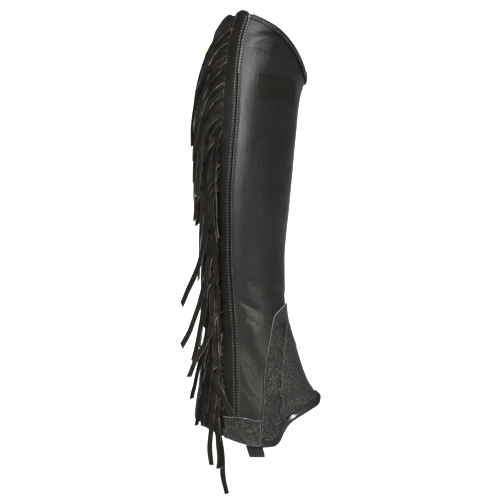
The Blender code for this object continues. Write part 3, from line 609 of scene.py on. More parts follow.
# Main panels: faces are how far out the wall begins and ends; creases are angle, height, length,
# width, slant and depth
outerPanelLook = {
    "finish": "smooth", "slot": "smooth_leather", "node": "outer_panel", "faces": (-2.0, 0.0),
    "flat": (0.150, 0.450), "area": 0.0445, "unevenness": 0.2,
    "creases": [
        (85, 147, 30, 3.4, 28, -0.8), (82, 138, 26, 3.0, 30, 0.6), (91, 98, 70, 8.0, 73, -1.2),
        (83, 108, 44, 8.0, 68, 0.9), (87, 52, 40, 5.0, 76, -0.4), (94, 84, 26, 3.6, 66, -0.25),
        (76, 126, 24, 2.4, 40, -0.3), (98, 130, 20, 2.2, 50, -0.35), (66, 166, 34, 4.5, 18, -0.4),
        (95, 176, 26, 3.0, 30, -0.3), (70, 200, 40, 5.0, 14, -0.3), (20, 160, 40, 4.0, 8, -0.35),
        (-10, 158, 34, 3.5, -6, -0.35), (84, 240, 60, 6.0, -68, -0.25), (72, 320, 70, 7.0, -74, -0.22),
        (97, 58, 26, 2.6, 70, -0.4), (40, 230, 60, 7.0, -55, -0.2),
        (86, 431, 14, 3.0, -12, -0.9), (85, 423, 22, 3.2, -8, 1.0), (70, 429, 12, 3.0, 4, -0.8),
        (89, 413, 24, 4.5, -16, -0.8), (78, 402, 26, 6.0, -50, 0.3), (62, 418, 20, 3.4, -30, -0.3),
    ],
}
innerPanelLook = {
    "finish": "plain", "slot": "plain_leather", "node": "inner_panel", "faces": (-2.0, 0.0),
    "flat": (0.205, 0.415), "area": 0.0515, "unevenness": 0.2,
    "creases": [
        (275, 147, 30, 3.4, -28, -0.7), (278, 138, 26, 3.0, -30, 0.5), (268, 100, 66, 8.0, -71, -1.0),
        (277, 106, 44, 8.0, -66, 0.8), (273, 54, 38, 5.0, -76, -0.4), (267, 84, 26, 3.4, -66, -0.3),
        (276, 393, 18, 3.0, 10, -0.45), (284, 386, 20, 4.0, 16, -0.35),
        (284, 126, 24, 2.4, -40, -0.3), (262, 130, 20, 2.2, -50, -0.35), (294, 166, 34, 4.5, -18, -0.4),
        (264, 176, 26, 3.0, -30, -0.3), (290, 200, 40, 5.0, -14, -0.3), (220, 160, 26, 3.0, -8, -0.35),
        (214, 138, 24, 2.4, 6, -0.4), (276, 244, 60, 6.0, 68, -0.25), (288, 322, 70, 7.0, 74, -0.22),
        (230, 300, 50, 6.0, -70, -0.22), (226, 104, 26, 3.0, -20, -0.35),
    ],
}
backPanelLook = {
    "finish": "plain", "slot": "plain_leather", "node": "back_panel", "faces": (-2.0, 0.0),
    "flat": (0.062, 0.445), "area": 0.0202, "unevenness": 0.12,
    "creases": [(150, 146, 20, 2.6, 6, -0.35), (140, 126, 22, 2.4, -8, -0.35), (146, 100, 20, 2.6, 4, -0.3)],
}
nearSeam = (0.0, 0.12, 0.4, 0.75, 1.05, 1.35, 1.65, 1.95, 2.25, 2.6, 3.0, 3.6, 4.6)
nearStitch = (0.0, 0.12, 0.4, 0.9, 1.5, 2.0, 2.5, 3.0, 3.8)
seamGap, zipGap, stitchLine = 0.15, 3.9, 2.2     # mm from a panel's edge to its seam, zip and stitches
pinch = 0.25                     # how far the bindings press the panels in at the top


def panelFoot(angle):
    return hemHeight(angle) + 1.0


def panel(name, look, grid, dress):
    relief = leatherRelief(look, grid) * np.clip(grid.sides / 6, 0, 1) + dress
    return sewWall(name, look, grid, relief, relief * 0.8)


grid = layGrid(70, 170, sideOf(legForm["innerSeam"], 0.3), sideOf(seamAngle, -seamGap), panelFoot, topHeight,
               nearStitch, nearSeam, highFine=nearStitch, crowd=1.25)
turnedEdge = 0.45 * bell(grid.last, 2.5, 0.6) - 0.3 * bell(grid.last, 1.35, 0.45)
outerPanel = panel("outerPanel", outerPanelLook, grid,
                   turnedEdge + stitchDent(grid.first, stitchLine) - pinch * bell(grid.high, 0, 3.5))
grid = layGrid(66, 170, sideOf(zipAngle, zipGap), sideOf(360 + legForm["innerSeam"]), panelFoot, topHeight,
               nearStitch, nearStitch, highFine=nearStitch, crowd=1.25)
dents = stitchDent(grid.first, stitchLine) + stitchDent(grid.last, stitchLine)
innerPanel = panel("innerPanel", innerPanelLook, grid, dents - pinch * bell(grid.high, 0, 3.5))
grid = layGrid(24, 150, sideOf(seamAngle, seamGap), sideOf(zipAngle, -zipGap), panelFoot, topHeight,
               nearStitch, nearStitch, crowd=1.25)
backPanel = panel("backPanel", backPanelLook, grid, stitchDent(grid.last, stitchLine))
print("stage 3: the three panels of the leg")


# Pieces sewn over the foot
footLook = {
    "finish": "pebbled", "slot": "pebbled_leather", "node": "foot_piece", "faces": (0.65, 2.05),
    "flat": (0.155, 0.150), "area": 0.0129, "unevenness": 0.10, "stitchIn": 1.9, "rearEnd": 96.5,
    "edge": [                # angle from the shin, height
        (0, 148.5), (12, 147.4), (31, 142.7), (47, 134.5), (55, 121.5), (63, 105.0), (71, 85.0),
        (79, 61.0), (88.5, 38.0), (93, 21.0), (96.5, 2.6),
    ],
    "swell": (50.0, 26.0, 17.0, 13.0, 2.4),      # degrees from the shin, reach, mm above the hem, reach, rise
    "creases": mirrored([(60, 84, 44, 5.0, 74, -0.35), (50, 66, 34, 5.0, 66, 0.4),
                         (70, 60, 34, 3.4, 78, -0.3), (40, 96, 30, 4.0, 60, -0.25)]),
}
instepLook = {
    "finish": "pebbled", "slot": "pebbled_leather", "node": "instep_piece", "faces": (2.7, 3.7),
    "flat": (0.115, 0.105), "area": 0.0061, "unevenness": 0.08, "stitchIn": 1.8, "rearEnd": 75.0,
    "edge": [
        (0, 104.0), (7, 109.0), (12, 119.0), (16, 128.5), (20, 130.0), (28, 125.0), (35, 114.0),
        (45, 97.0), (53, 82.0), (61, 62.0), (67, 52.0), (72, 41.0), (75, 30.0),
    ],
    "aboveHem": 6.4, "rawShare": 0.12, "creases": [],
}
footHeight, instepHeight = edgeThrough(footLook["edge"]), edgeThrough(instepLook["edge"])


def footSwell(angle, height):    # the leather flares a little above the hem, on both sides
    across, reach, above, deep, rise = footLook["swell"]
    up = height - hemHeight(angle)
    sideways = np.exp(-((np.abs(angle) - across) / reach) ** 2)
    return rise * sideways * np.exp(-((up - above) / deep) ** 2) * np.clip(up / 7.0, 0, 1)


def footWall(name, look, grid):
    relief = leatherRelief(look, grid) + footSwell(grid.angle, grid.height)
    dent = stitchDent(np.minimum(grid.high, grid.sides), look["stitchIn"])
    return sewWall(name, look, grid, relief + dent, relief)


end = footLook["rearEnd"]
grid = layGrid(110, 64, sideOf(-end), sideOf(end), hemHeight, footHeight, crowd=1.2)
footPiece = footWall("footPiece", footLook, grid)
end = instepLook["rearEnd"]
grid = layGrid(84, 50, sideOf(-end), sideOf(end), lambda angle: hemHeight(angle) + instepLook["aboveHem"],
               instepHeight)
footWall("instepPiece", instepLook, grid)


def edgePlace(angle, edge, up):      # the place that lies so far up from an edge, square to it
    height = edge(angle)
    _, around, upward, outward = formFrame(angle, height)
    along = around + upward * (edge(angle + 0.5) - edge(angle - 0.5))[..., None]
    square = unit(np.cross(outward, along))
    square *= np.where(square[..., 2:] < 0, -1.0, 1.0)
    aa, uu, au = (np.sum(a * b, -1) for a, b in ((around, around), (upward, upward), (around, upward)))
    sa, su = np.sum(square * around, -1), np.sum(square * upward, -1)
    scale = aa * uu - au * au
    return angle + (sa * uu - su * au) / scale * up, height + (su * aa - sa * au) / scale * up


# Bindings: width on the face, what they enclose from inside to outside, how deep the thread draws them in
topBindingLook = {
    "finish": "binding", "node": "top_binding", "flat": (0.0155, 0.290), "into": -1, "width": 4.6,
    "stack": (-2.6, 0.6), "thick": 0.9, "pinch": 0.30, "pitch": 2.5, "from": 110.0, "to": 417.0,
}
hemBindingLook = {
    "finish": "glossy", "node": "hem_binding", "flat": (0.0185, 0.195), "into": 1, "width": 5.4,
    "stack": (-2.6, 2.65), "thick": 0.9, "pinch": 0.10, "pitch": 23.0, "rearEnd": 96.3,
}


def foldedStrip(name, look, angles, edge, relief):
    width, thick, (inner, outer) = look["width"], look["thick"], look["stack"]
    top, bottom = outer + thick, inner - thick
    profile = [(width - 0.15, outer), (width, outer + 0.3), (width - 0.25, top - 0.05)]
    profile += [(width * s, top + 0.12 * math.sin(s * math.pi)) for s in (0.85, 0.7, 0.5, 0.3, 0.12)]
    profile += [(-0.6 - thick * max(math.sin(s * math.pi), 0.0) ** 0.6, top - (top - bottom) * s)
                for s in np.linspace(0, 1, 13)]
    profile += [(width * s, bottom) for s in (0.12, 0.4, 0.7, 0.9)]
    profile += [(width, bottom + 0.2), (width, inner - 0.15), (width - 0.2, inner)]
    profile += [(width * s, inner) for s in (0.6, 0.2)] + [(-0.6, inner), (-0.6, outer)]
    profile += [(width * s, outer) for s in (0.2, 0.6)]
    ups, outs = np.array(profile).T[:, None]
    base, heights = edgePlace(angles[:, None] + 0 * ups, edge, look["into"] * ups)
    length = lengthAlong(legPoint(angles, edge(angles), 0 * angles))[:, None]
    onFace = (outs >= top - 0.1) & (ups > -0.5)
    points = legPoint(base, heights, outs + relief(length / mm, ups) * onFace)
    lie = np.stack([length + 0 * ups, 0 * length + np.cumsum(np.ones(ups.shape), 1) * 0.7 * mm], -1)
    made = placeMesh(name, points, tubeFaces(1, *points.shape[:2]), look["finish"], lie)
    standFor(made, look)


def topPinch(along, up):         # whipped with bars, drawn in between them
    wave = np.sin(along * 2 * math.pi / topBindingLook["pitch"]) * bell(up, 2.2, 1.6)
    return topBindingLook["pinch"] * (wave + 1.2 * bell(up, 4.0, 0.4) + 1.2 * bell(up, 0.6, 0.4))


def hemPinch(along, up):
    wave = np.sin(along * 2 * math.pi / hemBindingLook["pitch"])
    return hemBindingLook["pinch"] * wave + stitchDent(up, 4.2, 0.25, 0.5)


topFirst = float(seamAngle(topHeight(np.array(topBindingLook["from"]))) - 5.0)
topLast = float(sideOf(zipAngle, 15.0)(np.array(topBindingLook["to"]))) - 360
foldedStrip("topBinding", topBindingLook, np.linspace(topFirst, topLast, 520), topHeight, topPinch)
end = hemBindingLook["rearEnd"]
foldedStrip("hemBinding", hemBindingLook, np.linspace(-end, end, 420), hemHeight, hemPinch)
print("stage 4: foot pieces and bindings")


# Patch and ankle band
patchLook = {                    # low and top: its corners' angles and heights; wide and tall in mm
    "finish": "patch", "slot": "patch_leather", "node": "patch", "faces": (0.65, 1.65),
    "flat": (0.0385, 0.0247), "unevenness": 0.04, "creases": [], "stitchIn": 1.7,
    "low": ((27.0, 353.2), (81.5, 361.4)), "top": ((36.0, 378.0), (86.0, 385.5)), "wide": 38.5, "tall": 24.7,
}
fineEdge = np.array(plainEdge + (1.3, 1.7, 2.1))
fineEdge.sort()


def patchPlace(look, u, v):      # angle and height of a point that lies u, v mm from the patch's corner
    s, t = u / look["wide"], v / look["tall"]
    low, top = np.array(look["low"]), np.array(look["top"])
    return [(low[0, i] * (1 - s) + low[1, i] * s) * (1 - t) + (top[0, i] * (1 - s) + top[1, i] * s) * t
            for i in range(2)]


def patchGrid(look):
    wide, tall = look["wide"], look["tall"]
    u = np.concatenate([fineEdge, np.linspace(2.8, wide - 2.8, 36), wide - fineEdge[::-1]])[None]
    v = np.concatenate([fineEdge, np.linspace(2.8, tall - 2.8, 22), tall - fineEdge[::-1]])[:, None]
    u, v = u + 0 * v, v + 0 * u
    return Grid(*patchPlace(look, u, v), u, wide - u, v, tall - v)


grid = patchGrid(patchLook)
relief = leatherRelief(patchLook, grid) + stitchDent(grid.border, patchLook["stitchIn"], 0.25, 0.5)
sewWall("barePatch", patchLook, grid, relief)

bandLook = {                     # foot and top: angle, height; front: height, angle
    "finish": "band", "slot": "band_leather", "node": "ankle_band", "faces": (0.3, 1.7),
    "flat": (0.025, 0.029), "unevenness": 0.1, "ridge": 0.5, "rearEnd": 126,
    "foot": [(97.6, 0.4), (104, 1.0), (112, 3.4), (120, 7.0), (126, 9.6)],
    "top": [(97.6, 27.0), (104, 29.6), (112, 30.9), (120, 31.2), (126, 31.9)],
    "front": [(0, 97.5), (3, 97.0), (21, 93.7), (32, 91.3)],
    "seam": (115.5, 0.7, 0.25), "rolled": 0.55, "crinkle": 0.15,     # seam: angle, groove, ridges beside it
    "creases": [
        (102, 12, 20, 1.5, -30, -0.6), (104, 20, 20, 1.3, -24, -0.5), (115, 15, 16, 1.3, -35, -0.5),
        (121, 22, 14, 1.3, -42, -0.5), (118, 10, 14, 1.2, -20, -0.45), (98, 8, 16, 1.2, -38, -0.45),
        (106, 26, 12, 1.2, -30, -0.4),
    ],
}
bandFoot, bandTop = lineThrough(bandLook["foot"]), lineThrough(bandLook["top"])
grid = layGrid(50, 40, lineThrough(bandLook["front"]), sideOf(bandLook["rearEnd"]), bandFoot, bandTop)
seam, groove, ridges = bandLook["seam"]
fromSeam = (grid.angle - seam) / degreesFor(1.0, grid.angle, grid.height)
lean = grid.first * 0.9 + grid.height * 0.75
crinkle = np.sin(lean * 2.3 + 1.4 * np.sin(grid.height / 3.1)) * np.sin(grid.first * 0.5 + grid.height * 0.31)
relief = leatherRelief(bandLook, grid) + bandLook["crinkle"] * crinkle
relief += bandLook["rolled"] * bell(np.minimum(grid.low, grid.high), 0.9, 0.7)
relief += ridges * bell(np.abs(fromSeam), 1.2, 0.6) - groove * bell(fromSeam, 0, 0.5)
sewWall("ankleBand", bandLook, grid, relief)
print("stage 5: patch and ankle band")


# Elastic stirrup, from inside the outer side, under the foot, to inside the other side
stirrupLook = {                  # forward: mm ahead of the leg's axis at the hem, and how much more below
    "width": 16.0, "thick": 1.2, "ribs": 11, "ribDepth": 0.16, "angle": 93.0, "inside": -3.25,
    "top": 18.0, "bottom": -10.8, "corner": 4.0, "forward": (7.0, 3.6),
}


def stirrupRoute(look):          # across and up, in mm
    bottom, corner, angle = look["bottom"], look["corner"], look["angle"]
    heights = np.array([look["top"], float(hemHeight(angle))])
    high, low = legPoint(angle, heights, look["inside"] + 0 * heights)[:, 1] / mm
    lean = np.radians(np.arange(0, 91, 10))
    bend = np.stack([low + corner * (1 - np.cos(lean)), bottom + corner * (1 - np.sin(lean))], -1)
    half = np.concatenate([[(high, look["top"]), (low, 6.0)], bend,
                           [(low / 2, bottom - 0.6), (0, bottom - 0.9)]])
    return np.concatenate([half, half[-2::-1] * (-1, 1)])


def buildStirrup(look):
    route = stirrupRoute(look)
    reach = lengthAlong(route)
    places = np.linspace(0, reach[-1], int(reach[-1] / 0.8))
    route = readAlong(places, reach, route)
    along = unit(np.gradient(route, axis=0))
    across = np.linspace(-1, 1, 56)
    ribs = look["ribDepth"] * np.abs(np.sin(across * math.pi * look["ribs"] / 2))
    edge = edgeDrop((1 - np.abs(across)) * look["width"] / 2, 0.5)
    half = look["thick"] / 2 - look["ribDepth"] + ribs - edge
    shift = look["forward"][0] + look["forward"][1] * np.clip(route[:, 1] / look["bottom"], 0, 1)
    x = shift[:, None] + across * look["width"] / 2
    sides = [np.stack([x, route[:, :1] + along[:, 1:] * out, route[:, 1:] - along[:, :1] * out], -1)
             for out in (half, -half)]
    points = np.concatenate([sides[0], sides[1][:, ::-1]], 1)
    points[..., 2] -= legForm["calfHeight"]
    lie = np.stack(np.broadcast_arrays(np.concatenate([x, x[:, ::-1]], 1), places[:, None]), -1) * mm
    made = placeMesh("elasticStirrup", points * mm, tubeFaces(1, *points.shape[:2]), "elastic", lie)
    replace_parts(made, "stirrup")


buildStirrup(stirrupLook)


# Fringe: the strip beside the outer seam and its cut strands
fringeLook = {                   # shown: the strip's length and a strand's mean width; past: how far the
                                 # strip runs below its strands and above the top edge
    "stripWidth": 14.5, "stripLow": 34.0, "stripHead": 440.0, "stripEnd": 6.0, "suede": 1.1,
    "pitch": 7.0, "strand": 4.3, "slit": 0.25, "width": 4.9, "facing": 0.9, "cup": 0.30,
    "flat": (0.124, 0.412), "shown": (410.0, 4.8), "past": (1.4, 0.65),
    "length": 106.0, "lowestTip": 19.0, "layers": (0, 2.7, 1, 3.8, 1.9, 4.9), "layerStep": 1.5,
    "layerLift": 0.5, "spread": 1.3, "riseLength": 1.2, "sway": 1.7, "twist": 46.0, "tipSlant": 2.2,
    "hang": [                # root height, slope, length of the turn downwards, first dip, share of layers
        (34, 81.5, 8, 50, 0.6), (120, 79.5, 9, 50, 0.7), (200, 78.6, 10, 50, 0.9),
        (260, 78.2, 11, 50, 1), (310, 76.5, 15, 44, 0.95), (370, 76.0, 24, 38, 0.65),
        (405, 75.5, 31, 33, 0.5), (440, 76.5, 36, 28, 0.5),
    ],
    "drape": {               # strands that fall close beside the strip, over the slits
        "low": 112.0, "high": 336.0, "ways": ((91.5, 78), (86.5, 64)), "layer": 2.4, "step": 1.1,
    },
    "strays": [              # root height, length, slope, layer, how far the tip stands off, from where
        (249, 99, 80, 7, 20, 0.35), (206, 104, 80, 7, 22, 0.25), (176, 92, 83, 8, 6, 0.30),
        (142, 72, 78, 7, 14, 0.30),
        (64, 84, 85, 7, 0, 0.5), (57, 80, 89, 6, 0, 0.5), (43, 92, 94, 5, 0, 0.5), (50, 72, 92, 6, 0, 0.5),
        (345, 88, 87.5, 8, 1, 0.5),
        (76, 48, 112, 8, 1, 0.5),
    ],
}
hangAt = curveThrough(fringeLook["hang"])


def strandTable(look):           # a row each: root, length, slope, layer, kick, leave, first dip, stray
    rootSide = sideOf(seamAngle, look["stripWidth"])
    stripTop = float(topHeight(rootSide(np.array(look["stripHead"])))) - look["stripEnd"]
    index = np.arange(int((stripTop - look["stripLow"]) / look["pitch"]))
    root = look["stripLow"] + index * look["pitch"] + look["strand"] / 2
    slope, _, firstDip, layerShare = hangAt(root).T
    uneven = 0.09 * np.sin(index * 2.4) + 0.05 * np.sin(index * 5.3)
    length = np.minimum(look["length"] * (1 + uneven), root - look["lowestTip"])
    layer = np.array(look["layers"])[index % len(look["layers"])] * layerShare
    table = np.stack([root, length, slope, layer, 0 * root, 0.5 + 0 * root, firstDip, 0 * root], -1)
    drape = look["drape"]
    close = (root > drape["low"]) & (root < drape["high"]) & (index % 3 < 2)
    table[close, 2], table[close, 6] = np.array(drape["ways"])[index[close] % 3].T
    table[close, 3] = drape["layer"] + index[close] // 3 % 4 * drape["step"]
    for stray in look["strays"]:
        near = np.abs(stray[0] - root) <= look["pitch"] / 2
        table[near, 1:6], table[near, 7] = stray[1:], 1
    return table


def strandPaths(look, table, steps=90):
    root, length, slope, layer, kick, leave, firstDip = table[:, :7].T
    number = np.arange(len(root))
    angle, height = sideOf(seamAngle, look["stripWidth"] - 0.6)(root), root.copy()
    bend = hangAt(root)[..., 1] * (1 + 0.14 * np.sin(number * 1.7) + 0.06 * np.sin(number * 4.9))
    slope = slope + look["spread"] * np.sin(number * 2.9)
    firstDip = firstDip + 4 * np.sin(number * 3.3)
    base = 0.3 + look["suede"] / 2
    done, step = -0.6 + 0 * root, (length + 0.6) / steps
    track = []
    for _ in range(steps + 1):
        rise = 1 - (1 - np.clip(done / (look["riseLength"] * bend), 0, 1)) ** 2
        parted = np.clip(done / length - leave, 0, None) / (1 - leave)
        out = base + (layer + look["layerLift"]) * look["layerStep"] * rise + kick * parted ** 1.2
        dip = np.radians(slope + (firstDip - slope) * np.exp(-np.clip(done, 0, None) / bend))
        track.append((angle, height, out, dip))
        angle = angle + degreesFor(np.cos(dip) * step, angle, height)
        height = height - np.sin(dip) * step
        done = done + step
    angle, height, out, dip = np.moveaxis(np.array(track), 0, -1)
    share, number = np.linspace(0, 1, steps + 1), number[:, None]
    sway = np.sin(share * 7.5 + number * 2.3) * 0.7 + np.sin(share * 13 + number * 4.1) * 0.35
    return angle + degreesFor(look["sway"] * sway * share, angle, height), height, out, dip


def buildStrands(look, table):
    angle, height, out, dip = strandPaths(look, table)
    point = legPoint(angle, height, out) / mm
    count, places = angle.shape
    share, number = np.linspace(0, 1, places), np.arange(count)[:, None]
    stray = table[:, 7:] > 0     # a stray keeps its cut side to the front and is a little wider
    outward = formFrame(angle, height)[3]
    keep = look["facing"] * np.clip(4 * share, 0, 1)[:, None]
    facing = outward[:, :1] * np.where(stray, 0.25, 0.5)[..., None] + np.array([-0.1, -0.5, 0.0])
    outward = outward * (1 - keep) + facing * keep
    along = unit(np.gradient(point, axis=1))
    across = unit(np.cross(along, outward))
    outward = np.cross(across, along)
    calm = np.where(stray, 0.2, 1.0)
    swing = np.sin(number * 1.9 + 0.7) + 0.6 * np.sin(number * 4.3)
    turn = np.radians(look["twist"]) * swing * share ** 1.2 * calm
    turn = turn + np.radians(16) * np.sin(share * 9 + number * 2.1) * np.clip(share * 3, 0, 1) * calm ** 0.4
    width = np.maximum(look["width"] * (1 - 0.12 * share), look["pitch"] * np.cos(dip) - look["slit"])
    uneven = 1 + 0.05 * np.sin(share * 14 + number * 3.7) * np.clip(share * 6, 0, 1)
    width = width * np.where(stray, 1.22, 1.0) * uneven
    turned = across * np.cos(turn)[..., None] + outward * np.sin(turn)[..., None]
    thickness = outward * np.cos(turn)[..., None] - across * np.sin(turn)[..., None]
    half, thin = width[..., None] / 2, look["suede"] / 2
    corners = np.array([              # round the strand: sideways, lift, how raw
        (1, 0.55, 1), (0.93, 1, 0), (0.45, 1, 0), (-0.45, 1, 0), (-0.93, 1, 0), (-1, 0.55, 1),
        (-1, -0.55, 1), (-0.93, -1, 0), (0, -1, 0), (0.93, -1, 0), (1, -0.55, 1),
    ])
    sideways, lift, raw = corners[:, :, None].transpose(1, 0, 2)
    bow = look["cup"] * np.sin(number * 2.7)[..., None, None] * (sideways ** 2 - 0.5) * half[:, :, None]
    points = point[:, :, None] + turned[:, :, None] * half[:, :, None] * sideways
    points = points + thickness[:, :, None] * (lift * thin + bow)
    slant = look["tipSlant"] * np.sin(number * 3.1)[..., None] * sideways
    points[:, -1] += along[:, -1, None] * slant
    points[:, -2] += along[:, -2, None] * slant * 0.8
    raw = raw[:, 0] * np.clip(share / 0.035, 0, 1)[:, None] * np.ones((count, 1, 1))
    raw[:, -1] = 1
    # painted shading: each strand lighter or darker to stand in for its differing sheen
    tone = 0.55 + 0.5 * (1 + np.sin(number * 2.2 + 0.4)) * (1 + 0.35 * np.sin(number * 5.1))
    return points * mm, raw, np.broadcast_to(tone[..., None], raw.shape)


def buildFringe(look):
    below, above = look["past"]
    grid = layGrid(10, 150, sideOf(seamAngle, seamGap), sideOf(seamAngle, look["stripWidth"]),
                   level(look["stripLow"] - below), lambda angle: topHeight(angle) + above)
    drop = edgeDrop(grid.border, 0.4)
    relief = 0.12 * np.sin(grid.height * 2 * math.pi / look["pitch"]) * np.exp(-grid.last / 2.5)
    relief = relief + stitchDent(grid.first, 3.0, 0.2, 0.6)
    outer = legPoint(grid.angle, grid.height, 0.3 + look["suede"] + relief - drop)
    inner = legPoint(grid.angle, grid.height, 0.3 + drop)
    raw = np.clip(1.2 - np.minimum(grid.last, grid.high) / 0.5, 0, 1)
    table = strandTable(look)
    strands, strandRaw, tone = buildStrands(look, table)
    faces = wallFaces(*grid.angle.shape) + tubeFaces(*strands.shape[:3], 2 * raw.size)
    points = np.concatenate([part.reshape(-1, 3) for part in (outer, inner, strands)])
    tones = np.concatenate([np.ones(2 * raw.size), tone.ravel()])
    made = placeMesh("suedeFringe", points, faces, "suede", np.stack([tones, 0 * tones], -1),
                     np.concatenate([raw.ravel(), raw.ravel(), strandRaw.ravel()]))
    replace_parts(made, "fringe")


buildFringe(fringeLook)

weltLook = {
    "from": 0.2, "to": 1.75, "foot": 33.0, "inside": 1.3, "outside": 2.35, "wave": 0.10, "unevenness": 0.15,
}


def buildWelt(look):             # the narrow folded welt that covers the seam's edge on the suede
    narrow = (0.0, 0.15, 0.35, 0.6)
    grid = layGrid(7, 260, sideOf(seamAngle, look["from"]), sideOf(seamAngle, look["to"]),
                   level(look["foot"]), lambda angle: topHeight(angle) + 0.4, narrow, narrow, (0.0, 0.3))
    pulled = np.sin(grid.height * 2 * math.pi / stitchLooks["seam"]["pitch"])
    wave = look["wave"] * pulled + unevenness(grid, look["unevenness"])
    rounding = edgeDrop(np.clip(grid.sides, 0, None), 0.78)
    layWall("seamWelt", grid, look["outside"] + wave - rounding * 1.2, look["inside"], "binding", 0 * wave)


buildWelt(weltLook)
print("stage 6: stirrup, fringe and welt")


# Zip: tapes and single teeth
tapeLook = {
    "finish": "zip tape", "slot": "zip_tape", "faces": (-3.65, -2.65), "flat": (0.011, 0.387),
    "unevenness": 0.08, "creases": [], "width": 11.0, "foot": 30.0, "head": 417.0,
}
toothLook = {                    # stop: height, offset and size of the end stops
    "pitch": 1.35, "size": (2.5, 0.95, 1.9), "offset": 0.75, "inside": -1.05, "foot": 31.5, "head": 404.0,
    "stopHeight": 411.5, "stopOffset": 1.6, "stopScale": (0.62, 2.6, 1.0),
}
for name, node, first, last in (("zipTapeOuter", "zip_tape_outer", -tapeLook["width"], -seamGap),
                                ("zipTapeInner", "zip_tape_inner", seamGap, tapeLook["width"])):
    grid = layGrid(12, 130, sideOf(zipAngle, first), sideOf(zipAngle, last), level(tapeLook["foot"]),
                   level(tapeLook["head"]))
    relief = leatherRelief(tapeLook, grid)
    sewWall(name, {**tapeLook, "node": node}, grid, relief, relief)


def buildTeeth(look):
    shape = bmesh.new()
    bmesh.ops.create_cube(shape, size=1.0)
    bmesh.ops.scale(shape, vec=look["size"], verts=shape.verts)
    bmesh.ops.bevel(shape, geom=shape.edges[:], offset=0.22, segments=2, affect="EDGES")
    tooth = np.array([v.co[:] for v in shape.verts])
    toothFaces = [[v.index for v in face.verts] for face in shape.faces]
    shape.free()
    heights = np.arange(look["foot"], look["head"], look["pitch"])
    heights = np.concatenate([heights, [look["stopHeight"]] * 2])
    point, _, _, outward = formFrame(zipAngle(heights), heights)
    up = unit(formPoint(zipAngle(heights + 1), heights + 1) - formPoint(zipAngle(heights - 1), heights - 1))
    outward = unit(outward - up * np.sum(up * outward, -1, keepdims=True))
    sideways = np.cross(up, outward)
    offset = look["offset"] * (np.arange(len(heights)) % 2 * 2 - 1)
    offset[-2:] = (-look["stopOffset"], look["stopOffset"])
    scale = np.ones((len(heights), 1, 3))
    scale[-2:] = look["stopScale"]
    middle = point + outward * look["inside"] + sideways * offset[:, None]
    frames = np.stack([sideways, up, outward], 1)
    points = middle[:, None] + np.einsum("nsk,nkx->nsx", tooth[None] * scale, frames)
    points[..., 2] -= legForm["calfHeight"]
    faces = [[base + i for i in face] for base in range(0, len(heights) * len(tooth), len(tooth))
             for face in toothFaces]
    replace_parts(placeMesh("zipTeeth", points * mm, faces, "brass"), "zip_teeth")


buildTeeth(toothLook)
softEdges = {"width": 0.22, "segments": 2, "angle": 40}
for node in ("zip_slider", "zip_pull"):      # these two stay CAD nodes
    shown = bpy.data.objects[node]
    for finishSlot in shown.material_slots:
        finishSlot.material = finishes["brass"]
    bevel = shown.modifiers.new("soft edges", "BEVEL")
    bevel.width = softEdges["width"] * mm
    bevel.segments = softEdges["segments"]
    bevel.limit_method = "ANGLE"
    bevel.angle_limit = math.radians(softEdges["angle"])
print("stage 7: zip")


# Sewing
sewing = {
    "lines": [               # name, line, mm beside it, from and to in height, mm out, look
        ("stitchSeamSuede", seamAngle, 2.35, 31, 446, 1.45, "seam"),
        ("stitchSeamPanel", seamAngle, -1.45, 31, 446, -0.05, "seam"),
        ("stitchZipOuter", zipAngle, -6.1, 32, 420, -0.22, "dots"),
        ("stitchZipInner", zipAngle, 6.1, 32, 420, -0.22, "dark"),
        ("stitchShinOuter", legForm["innerSeam"], 2.5, 150, 378, -0.2, "dark"),
        ("stitchShinInner", legForm["innerSeam"], -2.2, 150, 378, -0.2, "dark"),
    ],
    "edges": [               # name, edge, from and to in degrees, mm up from it, mm out, look, swell
        ("stitchFoot", footHeight, -95.5, 95.5, -1.9, 1.9, "fine", 1),
        ("stitchInstep", instepHeight, -74, 74, -1.3, 3.9, "dots", 1),
        ("stitchHem", hemHeight, -95, 95, 4.2, 3.4, "dark", 0),
        ("stitchBand", bandTop, 98.5, 125, -2.4, 1.55, "dark", 0),
        ("stitchTopBinding", topHeight, topFirst, topLast, -2.4, 1.55, "bars", 0),
    ],
    "patchOut": 1.5,
}
for name, line, length, low, high, out, look in sewing["lines"]:
    heights = np.arange(low, high, 1.5)
    stitchRow(name, sideOf(line, length)(heights), heights, out, look)
for name, edge, first, last, up, out, look, swell in sewing["edges"]:
    angle, height = edgePlace(np.linspace(first, last, 600), edge, up)
    stitchRow(name, angle, height, out + swell * footSwell(angle, height), look)


def patchStitches(look, out):
    near = look["stitchIn"]
    wide, tall = look["wide"] - near, look["tall"] - near
    places = np.linspace(0, 4, 4 * 59 + 1)[:-1]
    u = np.interp(places, range(5), (near, wide, wide, near, near))
    v = np.interp(places, range(5), (near, near, tall, tall, near))
    stitchRow("stitchPatch", *patchPlace(look, u, v), out, "fine")


patchStitches(patchLook, sewing["patchOut"])
print("stage 8: sewing")


